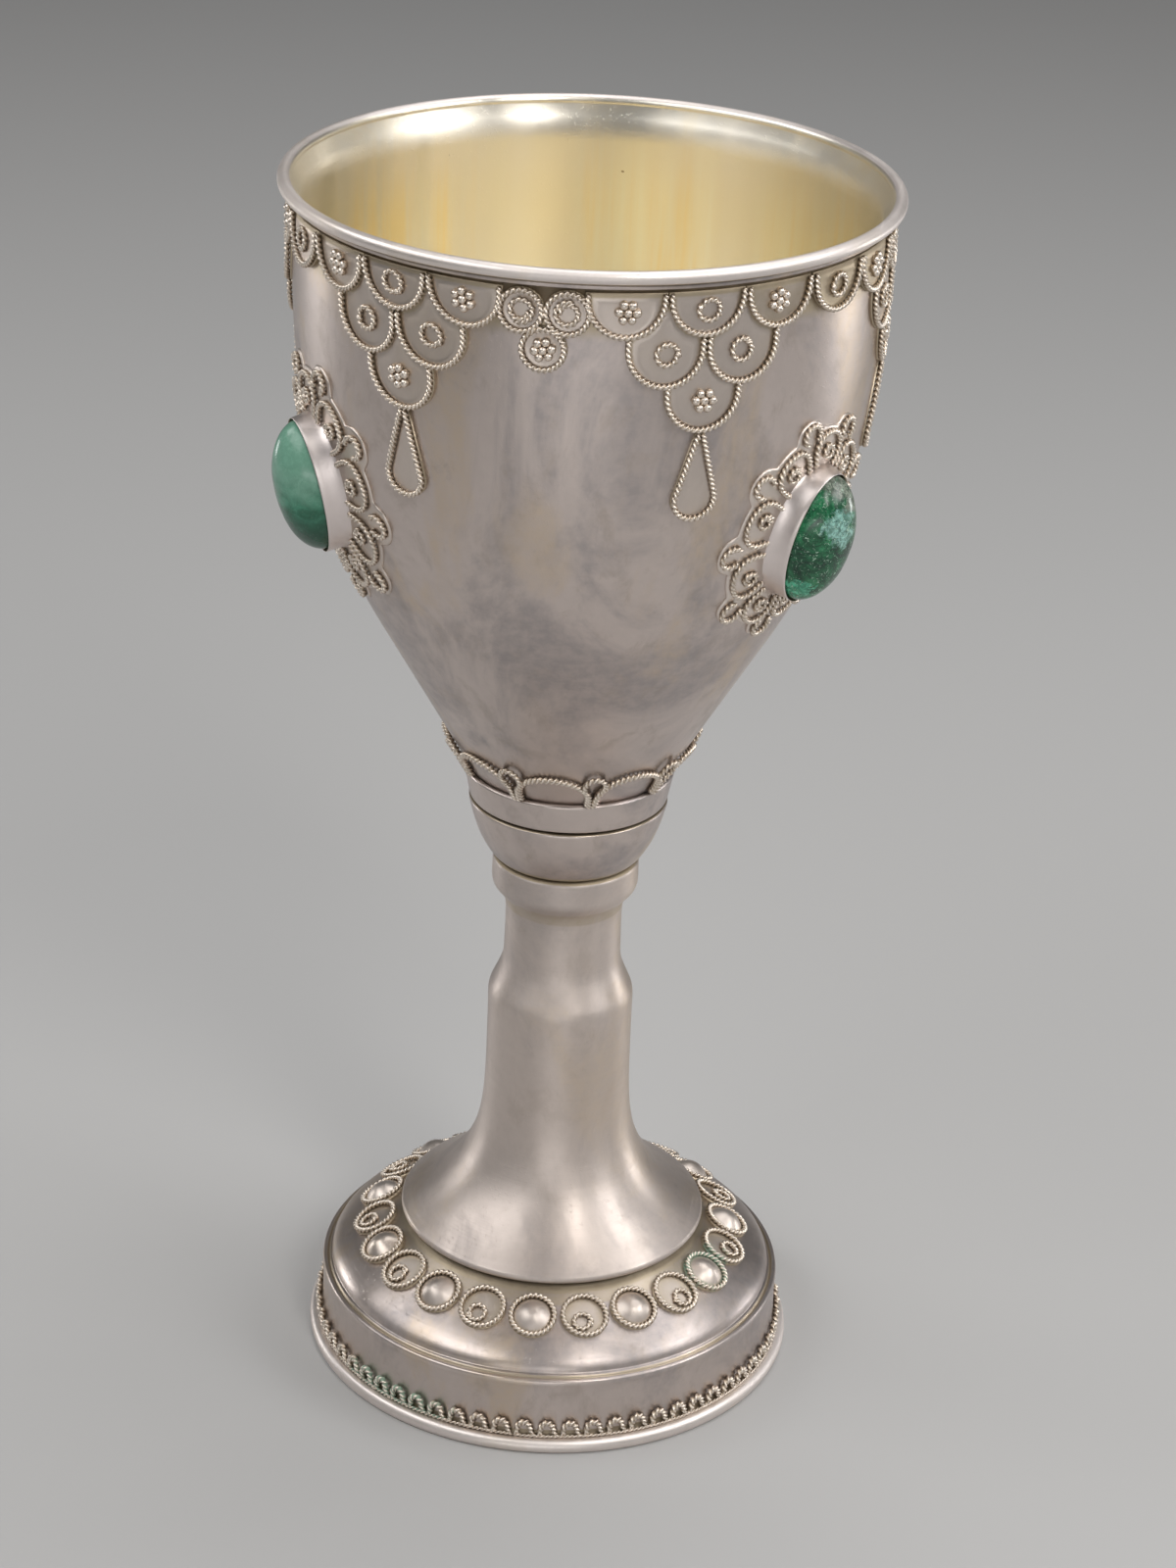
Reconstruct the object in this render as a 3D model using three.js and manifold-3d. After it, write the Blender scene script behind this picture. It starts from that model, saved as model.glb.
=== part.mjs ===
// Kiddush cup: a hollow silver goblet on a spun stem and a hollow domed foot, with soldered
// filigree and three cabochon stones. Millimetres, +Z up, origin under the centre of the foot.
// Azimuth 0 is the front (-Y) and grows towards +X; a trefoil is at the front.
import * as THREE from 'three';
import { mergeGeometries, mergeVertices } from 'three/addons/utils/BufferGeometryUtils.js';
import Module from 'manifold-3d';

const wasm = await Module();
wasm.setup();

// Driving dimensions
const HEIGHT = 175;
const RIM_RADIUS = 40.75;
const BEAD_RADIUS = 0.9;
const WALL = 1.0;
const GAP = 0.3;

// Bowl: a cone that turns into a nearly upright wall, with a ledge under the rim's bead
const CONE_SLOPE = 30 * Math.PI / 180;
const CONE_BOTTOM = 86.2;
const CONE_TOP = { r: 27.2, z: 114.5 };
const CONE_BLEND = 14.5;
const WALL_RADIUS = 38.75;
const WALL_START = 165;
const WALL_BLEND = 24;
const BOWL_BOTTOM = 84.4;
const BOTTOM_RADIUS = 8.8;
const LEDGE = 172.4;
const LEDGE_WIDTH = 0.7;

// Calyx, socket ring, stem. The calyx is given as radius and height above its bottom
const CALYX_BOTTOM = 77.6;
const CALYX_TOP = 86.6;
const CALYX_RADIUS = 13.95;
const CALYX_OUTSIDE = [[10.1, 0], [12.1, 3], [13.3, 6.2]];
const CALYX_INSIDE = [[11.6, 4.2], [9.3, 1], [0, 1]];
const SOCKET_TOP = 91.4;
const SOCKET_RADIUS = 14.7;
const TUBE_RADIUS = 10.3;
const NECK_RADIUS = 8.2;
const FLARE_RADIUS = 21.9;
const FLARE_BOTTOM = 20.8;
const FLARE_DECAY = 0.1314;
const FLARE_CURL = 0.0045;
const SHOULDER = 56.5;
const NECK_START = 61.5;
const COLLAR_BOTTOM = 72.6;

// Foot
const FLANGE_RADIUS = 35.4;
const FLANGE_HEIGHT = 1.95;
const SKIRT_RADIUS = 33.45;
const SKIRT_TOP = 10.7;
const DOME_RADIUS = 32.1;
const DOME_BOTTOM = 11.7;
const DOME_TOP = 20.5;
const DOME_HANDLES = [[32.1, 14], [26.5, 15.9]];
const DOME_INSIDE = [[18.3, 19.4], [25.4, 15.3], [29.6, 12.4]];
const FOOT_HOLE = 18.6;

// Filigree
const SECTORS = 3;
const WIRE = 0.85;
const SCALLOP_HALF_WIDTH = 4.45;
const SCALLOP_PITCH = 9.87;
const ROW_TOPS = [171.9, 166.3, 160.2];
const ROW_DEPTHS = [5.5, 6.0, 5.9];
// Each pendant's degrees from its sector's middle, and its lean in degrees
const PENDANTS = [[-30.1, 5.5], [29.6, 0], [-30, 0], [30.2, 2], [-30.2, -2], [30, 0]];
const DROP = [[0, 0.2], [-1.6, -5], [-2.5, -8.8], [-1.2, -11.5], [1.2, -11.5], [2.5, -8.8], [1.6, -5]];
const TREFOIL = [[-2.65, -2.7], [2.65, -2.7], [0, -7.3]];
const TREFOIL_RING = { rx: 2.6, ry: 2.7 };
// The stones are cut and set by hand, each a little differently: where it sits, how high its
// dome is, how far its rosette reaches and how many degrees that is turned
const SEATS = [
  { azimuth: 60.8, height: 135.7, dome: 4.6, reach: 0.95, turn: 7 },
  { azimuth: 180, height: 136.3, dome: 4.25, reach: 0.97, turn: 0 },
  { azimuth: 301, height: 137.1, dome: 4.6, reach: 1, turn: -3 },
];
const STONE = { a: 9.1, b: 5.5 };
const BEZEL = { a: 9.9, b: 7.2, rise: 2.1 };
const ROSETTE = { a: 15.4, b: 13.8 };
const ROSETTE_LOBES = 9;
// Five edge points for each lobe, as degrees from its notch and reach from the centre
const ROSETTE_EDGE = [[-7.5, 0.9], [-4.5, 1.11], [4.5, 1.11], [7.5, 0.9], [20, 0.96]];
const ARCHES = 9;
const ARCH = { foot: 92, radius: 16.2, halfWidth: 4.9, height: 6.2, loopHeight: 5.3, loop: 1.8 };
const BOSSES = 22;
const BOSS_START = 3.1;
const BOSS_RADIUS = 3.5;
const BOSS_CENTRE = 25.6;
const BOSS_HEIGHT = 2.1;
const WAVES = 65;
const WAVE_START = 3.5;
const WAVE_HEIGHT = 2.1;

const SILVER = { color: 0xb8b0a4, roughness: 0.36, metalness: 1 };
const FILIGREE = { color: 0xb4aa9a, roughness: 0.42, metalness: 1 };
const MALACHITE = { color: 0x2c7350, roughness: 0.2, metalness: 0 };

const cup = new THREE.Group();
const rad = THREE.MathUtils.degToRad;
const flat = (x, y) => new THREE.Vector2(x, y);
const table = (rows, x = 0, y = 0) => rows.map(([a, b]) => flat(a + x, b + y));

// ---- Solids -----------------------------------------------------------------

function closed(geometry) {
  const bare = new THREE.BufferGeometry();
  bare.setAttribute('position', geometry.getAttribute('position').clone());
  if (geometry.index) bare.setIndex(geometry.index.clone());
  const merged = mergeVertices(bare, 1e-4);
  const kept = [];
  const index = merged.index.array;
  for (let i = 0; i < index.length; i += 3) {
    const [a, b, c] = [index[i], index[i + 1], index[i + 2]];
    if (a !== b && b !== c && c !== a) kept.push(a, b, c);
  }
  merged.setIndex(kept);
  return merged;
}

function toSolid(geometry) {
  const shell = closed(geometry);
  const vertProperties = new Float32Array(shell.getAttribute('position').array);
  const triVerts = new Uint32Array(shell.index.array);
  return new wasm.Manifold(new wasm.Mesh({ numProp: 3, vertProperties, triVerts }));
}

function fromSolid(solid) {
  const { vertProperties, triVerts } = solid.getMesh();
  const geometry = new THREE.BufferGeometry();
  geometry.setAttribute('position', new THREE.BufferAttribute(vertProperties, 3));
  geometry.setIndex(new THREE.BufferAttribute(triVerts, 1));
  return geometry;
}

function joined(geometries) {
  const solids = geometries.map(toSolid);
  return fromSolid(solids.reduce((whole, next) => whole.add(next)));
}

// A profile of (radius, height) points, turned about +Z
function turned(profile, segments) {
  const loop = THREE.ShapeUtils.area(profile) > 0 ? profile : [...profile].reverse();
  return closed(new THREE.LatheGeometry([...loop, loop[0]], segments).rotateX(Math.PI / 2));
}

function moved(geometry, place) {
  const position = geometry.getAttribute('position');
  const point = new THREE.Vector3();
  for (let i = 0; i < position.count; i += 1) {
    place(point.fromBufferAttribute(position, i));
    position.setXYZ(i, point.x, point.y, point.z);
  }
  return geometry;
}

function add(name, geometry, look) {
  const ready = closed(geometry);
  ready.computeVertexNormals();
  const mesh = new THREE.Mesh(ready, new THREE.MeshStandardMaterial({ ...look, flatShading: true }));
  mesh.name = name;
  cup.add(mesh);
}

// ---- Bowl -------------------------------------------------------------------

const coneRun = flat(Math.sin(CONE_SLOPE), Math.cos(CONE_SLOPE));
const bowlWall = new THREE.CurvePath();
const coneTop = flat(CONE_TOP.r, CONE_TOP.z);
const coneLength = (CONE_TOP.z - CONE_BOTTOM) / coneRun.y;
bowlWall.add(new THREE.LineCurve(coneTop.clone().addScaledVector(coneRun, -coneLength), coneTop));
bowlWall.add(new THREE.CubicBezierCurve(
  coneTop,
  coneTop.clone().addScaledVector(coneRun, CONE_BLEND),
  flat(WALL_RADIUS, WALL_START - WALL_BLEND),
  flat(WALL_RADIUS, WALL_START),
));
bowlWall.add(new THREE.LineCurve(flat(WALL_RADIUS, WALL_START), flat(WALL_RADIUS, LEDGE)));
const wallLength = bowlWall.getLength();

// The wall's place and outward normal at a run measured along it
function wallAt(run) {
  const t = THREE.MathUtils.clamp(run / wallLength, 0, 1);
  const place = bowlWall.getPoint(t);
  const along = bowlWall.getTangent(t);
  return { place, normal: flat(along.y, -along.x) };
}

function runAtHeight(z) {
  let [low, high] = [0, wallLength];
  for (let i = 0; i < 40; i += 1) {
    const middle = (low + high) / 2;
    if (wallAt(middle).place.y < z) low = middle;
    else high = middle;
  }
  return low;
}

// Wraps a flat design (x across, y up, z off the wall) round the bowl. Across is true to size at
// the given radius, or everywhere without one
function wrapped(geometry, azimuth, height, radius) {
  const start = runAtHeight(height);
  return moved(geometry, (p) => {
    const { place, normal } = wallAt(start + p.y);
    const r = place.x + normal.x * (p.z + GAP);
    const angle = rad(azimuth) + p.x / (radius ?? place.x);
    p.set(r * Math.sin(angle), -r * Math.cos(angle), place.y + normal.y * (p.z + GAP));
  });
}

function bowl() {
  const outside = [CONE_BOTTOM, CONE_TOP.z, 121, 128, 136, 146, 156, LEDGE].map(
    (z) => wallAt(runAtHeight(z)).place,
  );
  const inside = [LEDGE, 156, 146, 128, CONE_TOP.z, CONE_BOTTOM].map((z) => {
    const { place, normal } = wallAt(runAtHeight(z));
    return place.clone().addScaledVector(normal, -WALL);
  });
  const bead = [-60, 0, 45, 90, 135, 180].map((turn) => flat(
    RIM_RADIUS - BEAD_RADIUS + BEAD_RADIUS * Math.cos(rad(turn)),
    HEIGHT - BEAD_RADIUS + BEAD_RADIUS * Math.sin(rad(turn)),
  ));
  const profile = [
    flat(0, BOWL_BOTTOM), flat(BOTTOM_RADIUS, BOWL_BOTTOM + 0.3),
    ...outside,
    flat(WALL_RADIUS + LEDGE_WIDTH, LEDGE + 0.1), flat(WALL_RADIUS + LEDGE_WIDTH, LEDGE + 0.6),
    ...bead, ...inside,
    flat(BOTTOM_RADIUS - 0.4, BOWL_BOTTOM + 0.4 + WALL), flat(0, BOWL_BOTTOM + WALL),
  ];
  return turned(profile, 32);
}

// ---- Calyx, socket ring, stem, foot -------------------------------------------

function calyx() {
  const profile = [
    flat(0, CALYX_BOTTOM), ...table(CALYX_OUTSIDE, 0, CALYX_BOTTOM), flat(CALYX_RADIUS, CALYX_TOP),
    flat(CALYX_RADIUS - WALL, CALYX_TOP), ...table(CALYX_INSIDE, 0, CALYX_BOTTOM),
  ];
  return turned(profile, 24);
}

function socketRing() {
  const bottom = CALYX_TOP + GAP;
  const coneRadius = (z) => CONE_TOP.r - (CONE_TOP.z - z) * Math.tan(CONE_SLOPE) + GAP;
  return turned([
    flat(coneRadius(bottom) + 0.1, bottom), flat(CALYX_RADIUS, bottom),
    flat(SOCKET_RADIUS, SOCKET_TOP - 0.4), flat(coneRadius(SOCKET_TOP) + 0.2, SOCKET_TOP),
  ], 24);
}

function trumpetRadius(z) {
  const s = z - FLARE_BOTTOM;
  const fall = Math.exp(-FLARE_DECAY * s - FLARE_CURL * s * s);
  return TUBE_RADIUS + (FLARE_RADIUS - TUBE_RADIUS) * fall;
}

function stem() {
  const flare = [0, 2, 4.5, 7.5, 12, 18].map((s) => {
    const z = FLARE_BOTTOM + s;
    return flat(trumpetRadius(z), z);
  });
  const above = [
    flat(TUBE_RADIUS, SHOULDER - 0.6), flat(NECK_RADIUS + 0.5, NECK_START - 2.6),
    flat(NECK_RADIUS, NECK_START),
    flat(NECK_RADIUS, COLLAR_BOTTOM - 3), flat(NECK_RADIUS + 0.7, COLLAR_BOTTOM - 1),
    flat(TUBE_RADIUS - 0.1, COLLAR_BOTTOM + 0.8), flat(TUBE_RADIUS, CALYX_BOTTOM - GAP),
  ];
  const hollow = [
    flat(NECK_RADIUS - WALL, CALYX_BOTTOM - GAP), flat(NECK_RADIUS - WALL, NECK_START - 3),
    ...[18, 7.5, 0.6].map((s) => {
      const z = FLARE_BOTTOM + s;
      return flat(trumpetRadius(z) - WALL * 1.2, z - 0.4);
    }),
  ];
  const lip = [
    flat(FLARE_RADIUS - 0.7, FLARE_BOTTOM - 1.35), flat(FLARE_RADIUS + 0.25, FLARE_BOTTOM - 0.75),
  ];
  return turned([...lip, ...flare, ...above, ...hollow], 20);
}

const domeCurve = new THREE.CubicBezierCurve(
  flat(DOME_RADIUS, DOME_BOTTOM), ...table(DOME_HANDLES), flat(FOOT_HOLE, DOME_TOP),
);

function foot() {
  const inside = [
    ...table(DOME_INSIDE), flat(SKIRT_RADIUS - WALL, SKIRT_TOP - 1.3), flat(SKIRT_RADIUS - WALL, 0),
  ];
  const outside = [
    flat(FLANGE_RADIUS - 0.3, 0), flat(FLANGE_RADIUS, 0.9),
    flat(FLANGE_RADIUS - 0.6, FLANGE_HEIGHT), flat(SKIRT_RADIUS + 0.1, FLANGE_HEIGHT + 0.1),
    flat(SKIRT_RADIUS, SKIRT_TOP - 0.3), flat(SKIRT_RADIUS - 0.3, SKIRT_TOP + 0.3),
    flat(SKIRT_RADIUS - 1, SKIRT_TOP + 0.3), flat(DOME_RADIUS + 0.1, SKIRT_TOP + 0.6),
  ];
  return turned([...outside, ...domeCurve.getPoints(5), ...inside], 32);
}

// ---- Filigree on the bowl -------------------------------------------------------

// A flat band of wire width along a list of points, standing WIRE high
function band(points, isLoop) {
  const half = WIRE / 2;
  const count = points.length;
  const edge = (side) => points.map((point, i) => {
    const before = points[isLoop ? (i + count - 1) % count : Math.max(i - 1, 0)];
    const after = points[isLoop ? (i + 1) % count : Math.min(i + 1, count - 1)];
    const along = after.clone().sub(before).normalize();
    return point.clone().add(flat(-along.y, along.x).multiplyScalar(side * half));
  });
  const shape = new THREE.Shape(isLoop ? edge(-1) : [...edge(1), ...edge(-1).reverse()]);
  if (isLoop) shape.holes.push(new THREE.Path(edge(1)));
  return new THREE.ExtrudeGeometry(shape, { depth: WIRE, bevelEnabled: false });
}

function hexagon(x, y, rx, ry) {
  return [90, 150, 210, 270, 330, 390].map(
    (turn) => flat(x + rx * Math.cos(rad(turn)), y + ry * Math.sin(rad(turn))),
  );
}

// A scallop hangs from y at x, like the letter U with a round bottom
function scallop(x, y, depth) {
  const round = SCALLOP_HALF_WIDTH;
  const flatten = 1 / Math.sin(rad(65));
  const points = [flat(x - round, y)];
  for (const turn of [205, 245, 295, 335]) {
    const across = round * Math.cos(rad(turn));
    const down = depth - round - round * flatten * Math.sin(rad(turn));
    points.push(flat(x + across, y - down));
  }
  points.push(flat(x + round, y));
  return band(points, false);
}

function pendant(lean) {
  const pieces = [];
  ROW_TOPS.forEach((top, row) => {
    const count = ROW_TOPS.length - row;
    for (let i = 0; i < count; i += 1) {
      pieces.push(scallop((i - (count - 1) / 2) * SCALLOP_PITCH, top - ROW_TOPS[0], ROW_DEPTHS[row]));
    }
  });
  pieces.push(band(table(DROP, 0, ROW_TOPS[2] - ROW_TOPS[0] - ROW_DEPTHS[2]), true));
  return moved(joined(pieces), (p) => { p.x -= p.y * Math.tan(rad(lean)); });
}

function trefoil() {
  const { rx, ry } = TREFOIL_RING;
  return joined(TREFOIL.map(([x, y]) => band(hexagon(x, y, rx, ry), true)));
}

// A scalloped oval collar: round lobes with a small loop standing in each notch
function rosette(seat) {
  const corners = ROSETTE_LOBES * ROSETTE_EDGE.length;
  const ring = turned([flat(0.5, 0), flat(1, 0), flat(1, 1), flat(0.5, 1)], corners).rotateZ(Math.PI);
  return moved(ring, (p) => {
    const corner = Math.round(Math.atan2(p.x, p.y) / (2 * Math.PI) * corners) + corners;
    const [turn, reach] = ROSETTE_EDGE[corner % ROSETTE_EDGE.length];
    const notch = Math.floor(corner / ROSETTE_EDGE.length) + 0.5;
    const angle = notch * 2 * Math.PI / ROSETTE_LOBES + rad(turn + seat.turn);
    const outer = Math.hypot(p.x, p.y) > 0.75;
    const a = outer ? ROSETTE.a * seat.reach * reach : BEZEL.a + GAP;
    const b = outer ? ROSETTE.b * seat.reach * reach : BEZEL.b + GAP;
    p.set(b * Math.sin(angle), a * Math.cos(angle), p.z * WIRE);
  });
}

// One length of the border: a keyhole loop between two half arches, whose ends stay open
function archLength(halfPitch) {
  const arch = (turn, side) => flat(
    halfPitch - (ARCH.halfWidth + side * WIRE / 2) * Math.cos(rad(turn)),
    (ARCH.height + side * WIRE / 2) * Math.sin(rad(turn)),
  );
  const loop = (turn, radius) => flat(
    radius * Math.cos(rad(turn)), ARCH.loopHeight + radius * Math.sin(rad(turn)),
  );
  const right = [
    ...[0, 30, 58, 90].map((turn) => arch(turn, -1)),
    ...[90, 66, 46].map((turn) => arch(turn, 1)),
    ...[15, 60].map((turn) => loop(turn, ARCH.loop + WIRE / 2)),
  ];
  const left = right.map((point) => flat(-point.x, point.y)).reverse();
  const shape = new THREE.Shape([...right, ...left]);
  const eye = [0, 1, 2, 3, 4].map((i) => loop(90 + i * 72, ARCH.loop - WIRE / 2));
  shape.holes.push(new THREE.Path(eye));
  const length = closed(new THREE.ExtrudeGeometry(shape, { depth: WIRE, bevelEnabled: false }));
  const position = length.getAttribute('position');
  const atEnd = (i) => Math.abs(position.getX(i)) > halfPitch - 1e-3;
  const kept = [];
  for (let i = 0; i < length.index.count; i += 3) {
    const corners = [0, 1, 2].map((k) => length.index.getX(i + k));
    if (!corners.every(atEnd)) kept.push(...corners);
  }
  length.setIndex(kept);
  return length;
}

// The lengths meet end to end round the foot of the cone
function archBorder() {
  const halfPitch = Math.PI / ARCHES * ARCH.radius;
  const lengths = Array.from({ length: ARCHES }, (_, i) => wrapped(
    archLength(halfPitch), (i + 0.5) * 360 / ARCHES, ARCH.foot, ARCH.radius,
  ));
  return mergeGeometries(lengths);
}

// ---- Stones -----------------------------------------------------------------------

// Puts a shape made upright on the bowl's tangent plane at a stone's seat
function seated(geometry, seat) {
  const { place, normal } = wallAt(runAtHeight(seat.height));
  const angle = rad(seat.azimuth);
  const across = new THREE.Vector3(Math.cos(angle), Math.sin(angle), 0);
  const out = new THREE.Vector3(Math.sin(angle) * normal.x, -Math.cos(angle) * normal.x, normal.y);
  const up = new THREE.Vector3().crossVectors(out, across);
  const frame = new THREE.Matrix4().makeBasis(across, up, out);
  frame.setPosition(Math.sin(angle) * place.x, -Math.cos(angle) * place.x, place.y);
  return geometry.applyMatrix4(frame);
}

function bezel(seat) {
  const ring = turned([flat(0.8, 0), flat(1, 0), flat(1, 1), flat(0.8, 1)], 14);
  moved(ring, (p) => {
    const outer = Math.hypot(p.x, p.y) > 0.9;
    const angle = Math.atan2(p.y, p.x);
    const a = outer ? THREE.MathUtils.lerp(BEZEL.a, STONE.a + GAP + 0.35, p.z) : STONE.a + GAP;
    const b = outer ? THREE.MathUtils.lerp(BEZEL.b, STONE.b + GAP + 0.35, p.z) : STONE.b + GAP;
    p.set(b * Math.cos(angle), a * Math.sin(angle), p.z * BEZEL.rise);
    if (p.z === 0) p.z = seatDrop(p.x, p.y, seat.height) + GAP;
  });
  return seated(ring, seat);
}

// How far the wall lies behind its tangent plane at (x, y) on a stone's seat
function seatDrop(x, y, height) {
  const run = runAtHeight(height);
  const middle = wallAt(run);
  const { place } = wallAt(run + y);
  const radial = Math.sqrt(place.x * place.x - x * x);
  return (radial - middle.place.x) * middle.normal.x + (place.y - middle.place.y) * middle.normal.y;
}

function stone(seat) {
  const girdle = BEZEL.rise + 0.1;
  const profile = [flat(0, GAP), flat(1, GAP), flat(1, girdle)];
  for (const [reach, rise] of [[0.9, 0.46], [0.55, 0.88], [0, 1]]) {
    profile.push(flat(reach, girdle + rise * seat.dome));
  }
  return seated(turned(profile, 14).scale(STONE.b, STONE.a, 1), seat);
}

// ---- Filigree on the foot -----------------------------------------------------------

// Lays a small upright piece on the foot's dome
function onDome(geometry, azimuth) {
  const t = domeTurnAt(BOSS_CENTRE);
  const place = domeCurve.getPoint(t);
  const along = domeCurve.getTangent(t);
  const tilt = Math.atan2(-along.x, along.y) - Math.PI / 2;
  geometry.translate(0, 0, GAP);
  geometry.rotateX(-tilt);
  geometry.translate(0, -place.x, place.y);
  return geometry.rotateZ(rad(azimuth));
}

function domeTurnAt(radius) {
  let t = 0;
  while (domeCurve.getPoint(t).x > radius) t += 0.001;
  return t;
}

function domedBoss() {
  const profile = [
    flat(0, 0), flat(BOSS_RADIUS, 0), flat(BOSS_RADIUS - 0.6, WIRE), flat(0, BOSS_HEIGHT),
  ];
  return turned(profile, 7);
}

function eyelet() {
  const half = WIRE / 2;
  return new THREE.TorusGeometry(BOSS_RADIUS - half, half, 3, 7).translate(0, 0, half);
}

// The wavy wire that lies in the corner between the flange and the skirt
function wavyWire() {
  const inner = SKIRT_RADIUS + 0.1 + GAP;
  const profile = [flat(inner, 0), flat(inner + WIRE, 0.1), flat(inner, WIRE)];
  const ring = turned(profile, 2 * WAVES).rotateZ(rad(WAVE_START));
  return moved(ring, (p) => {
    const angle = Math.atan2(p.x, -p.y) - rad(WAVE_START);
    const lift = (1 + Math.cos(angle * WAVES)) / 2;
    p.z += FLANGE_HEIGHT + GAP + lift * (WAVE_HEIGHT - WIRE);
  });
}

// ---- Assembly -----------------------------------------------------------------------

add('bowl', bowl(), SILVER);
add('socket_ring', socketRing(), SILVER);
add('calyx', calyx(), SILVER);
add('stem', stem(), SILVER);
add('foot', foot(), SILVER);
add('wavy_wire', wavyWire(), FILIGREE);
add('arch_border', archBorder(), FILIGREE);

for (let i = 0; i < SECTORS; i += 1) {
  const front = i * 360 / SECTORS;
  add(`trefoil_${i + 1}`, wrapped(trefoil(), front, ROW_TOPS[0]), FILIGREE);
  for (const number of [2 * i + 1, 2 * i + 2]) {
    const [turn, lean] = PENDANTS[number - 1];
    add(`pendant_${number}`, wrapped(pendant(lean), front + turn, ROW_TOPS[0]), FILIGREE);
  }
  add(`scallop_${i + 1}`, wrapped(scallop(0, 0, ROW_DEPTHS[0]), front + 60, ROW_TOPS[0]), FILIGREE);
  const seat = SEATS[i];
  add(`rosette_${i + 1}`, wrapped(rosette(seat), seat.azimuth, seat.height), FILIGREE);
  add(`bezel_${i + 1}`, bezel(seat), SILVER);
  add(`stone_${i + 1}`, stone(seat), MALACHITE);
}

for (let i = 0; i < BOSSES; i += 1) {
  const azimuth = BOSS_START + i * 360 / BOSSES;
  const number = Math.floor(i / 2) + 1;
  if (i % 2 === 0) add(`boss_${number}`, onDome(domedBoss(), azimuth), FILIGREE);
  else add(`eyelet_${number}`, onDome(eyelet(), azimuth), FILIGREE);
}

export default cup;
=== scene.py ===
"""The looks of the kiddush cup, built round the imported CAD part.

Every CAD node is replaced by a finer mesh of the same piece: turned silver with rounded edges,
two-ply twisted wire on thin plates, granules, flared bezels and mottled green stones. Shapes are
worked out in millimetres in the CAD frame: +Z up, azimuth 0 at the front (-Y), growing to +X.
"""
import math
import random

import bpy
import numpy as np
from mathutils import Matrix, Vector

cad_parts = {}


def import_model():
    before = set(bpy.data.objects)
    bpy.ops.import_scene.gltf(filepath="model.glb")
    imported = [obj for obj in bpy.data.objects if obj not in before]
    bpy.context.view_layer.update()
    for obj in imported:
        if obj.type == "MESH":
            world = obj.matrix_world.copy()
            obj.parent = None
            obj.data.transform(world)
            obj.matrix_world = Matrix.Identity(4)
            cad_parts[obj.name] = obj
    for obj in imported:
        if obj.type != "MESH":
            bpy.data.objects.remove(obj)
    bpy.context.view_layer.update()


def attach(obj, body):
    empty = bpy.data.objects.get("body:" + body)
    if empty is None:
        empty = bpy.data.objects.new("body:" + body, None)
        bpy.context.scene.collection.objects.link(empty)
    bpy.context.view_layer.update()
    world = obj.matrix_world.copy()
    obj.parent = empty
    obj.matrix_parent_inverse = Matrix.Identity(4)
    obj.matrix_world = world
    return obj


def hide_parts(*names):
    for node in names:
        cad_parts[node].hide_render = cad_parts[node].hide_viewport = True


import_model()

MM = 0.001
TAU = 2 * math.pi
dice = random.Random(7)

# ---- Sizes, in millimetres ----

HEIGHT = 175.0
RIM_RADIUS = 40.75
BEAD_RADIUS = 0.9
WALL = 1.0
LEDGE = 172.4
CONE_SLOPE = math.radians(30)
CONE_BOTTOM = (10.86, 86.2)     # radius and height
CONE_TOP = (27.2, 114.5)
CONE_BLEND = 14.5
WALL_RADIUS = 38.75
WALL_START = 165.0
WALL_BLEND = 24.0
BOWL_BOTTOM = 84.4

TUBE_RADIUS = 10.3
FLARE_RADIUS = 21.9             # where the trumpet meets the foot
FLARE_BOTTOM = 20.8
FLARE_DECAY = (0.1314, 0.0045)  # how fast the trumpet narrows, per millimetre and its square
DOME_POINTS = ((32.1, 11.7), (32.1, 14), (26.5, 15.9), (18.6, 20.5))
GROOVE_RADIUS = 32.62           # between the foot's skirt and its dome

WIRE = 0.44            # radius of the twisted wire
PITCH = 1.4            # length of one full turn of its two strands
PLATE = 0.24           # thickness of the plates under the wires
ROPE_STEP = 0.16       # length between two sections of a wire
GRANULE = 0.57         # radius of a granule

SCALLOP = 4.65         # half width of a scallop, at its wire's centre
SECTOR = 15.0          # degrees from one scallop to the next
ROWS = ((171.9, 5.4), (166.1, 6.0), (159.9, 5.9))   # top and depth of each row of a pendant
ROW_STEP = 0.03        # how far a row's plates lie over those of the row below
TREFOIL = ((0, -7.45), (-2.85, -2.75), (2.85, -2.75))
TREFOIL_RADIUS = 2.6
TEARDROP_RADIUS = 2.6
TEARDROP_DROP = 9.1    # from a pendant's lowest scallop to the middle of the teardrop's round end
# Each pendant's degrees from its sector's middle, and its lean in degrees
PENDANTS = ((-30.1, 5.5), (29.6, 0.0), (-30.0, 0.0), (30.2, 2.0), (-30.2, -2.0), (30.0, 0.0))
# Where each stone sits, how high its dome is, and its rosette's reach and turn
SEATS = (
    {"azimuth": 60.8, "height": 135.7, "dome": 4.6, "reach": 0.95, "turn": 7.0},
    {"azimuth": 180.0, "height": 136.3, "dome": 4.2, "reach": 0.97, "turn": 0.0},
    {"azimuth": 301.0, "height": 137.1, "dome": 4.6, "reach": 1.0, "turn": -3.0},
)
STONE = (5.5, 9.1)               # half its width and height
BEZEL = (7.25, 9.75)             # the same at its foot
BEZEL_RISE = 2.1
STONE_FOOT = 0.4
ROSETTE_INNER = (7.3, 9.8)       # across and up: where the bezel's foot stands
ROSETTE_OUTER = (12.5, 14.9)     # to the wire at the top of a lobe
LOBES = 9
ARCHES = 9
ARCH_RADIUS = 16.2
ARCH_FOOT = 92.0
ARCH_HEIGHT = 5.4
ARCH_GAP = 1.24                  # between the wires of two arches, at their centres
BOSSES = 22
BOSS_START = 3.1
BOSS_CENTRE = 25.6
BOSS_RADIUS = 2.85
FOOT_WIRE_RADIUS = 3.1
FOOT_PLATE = 0.16
WAVES = 65
WAVE_START = 3.46
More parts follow.
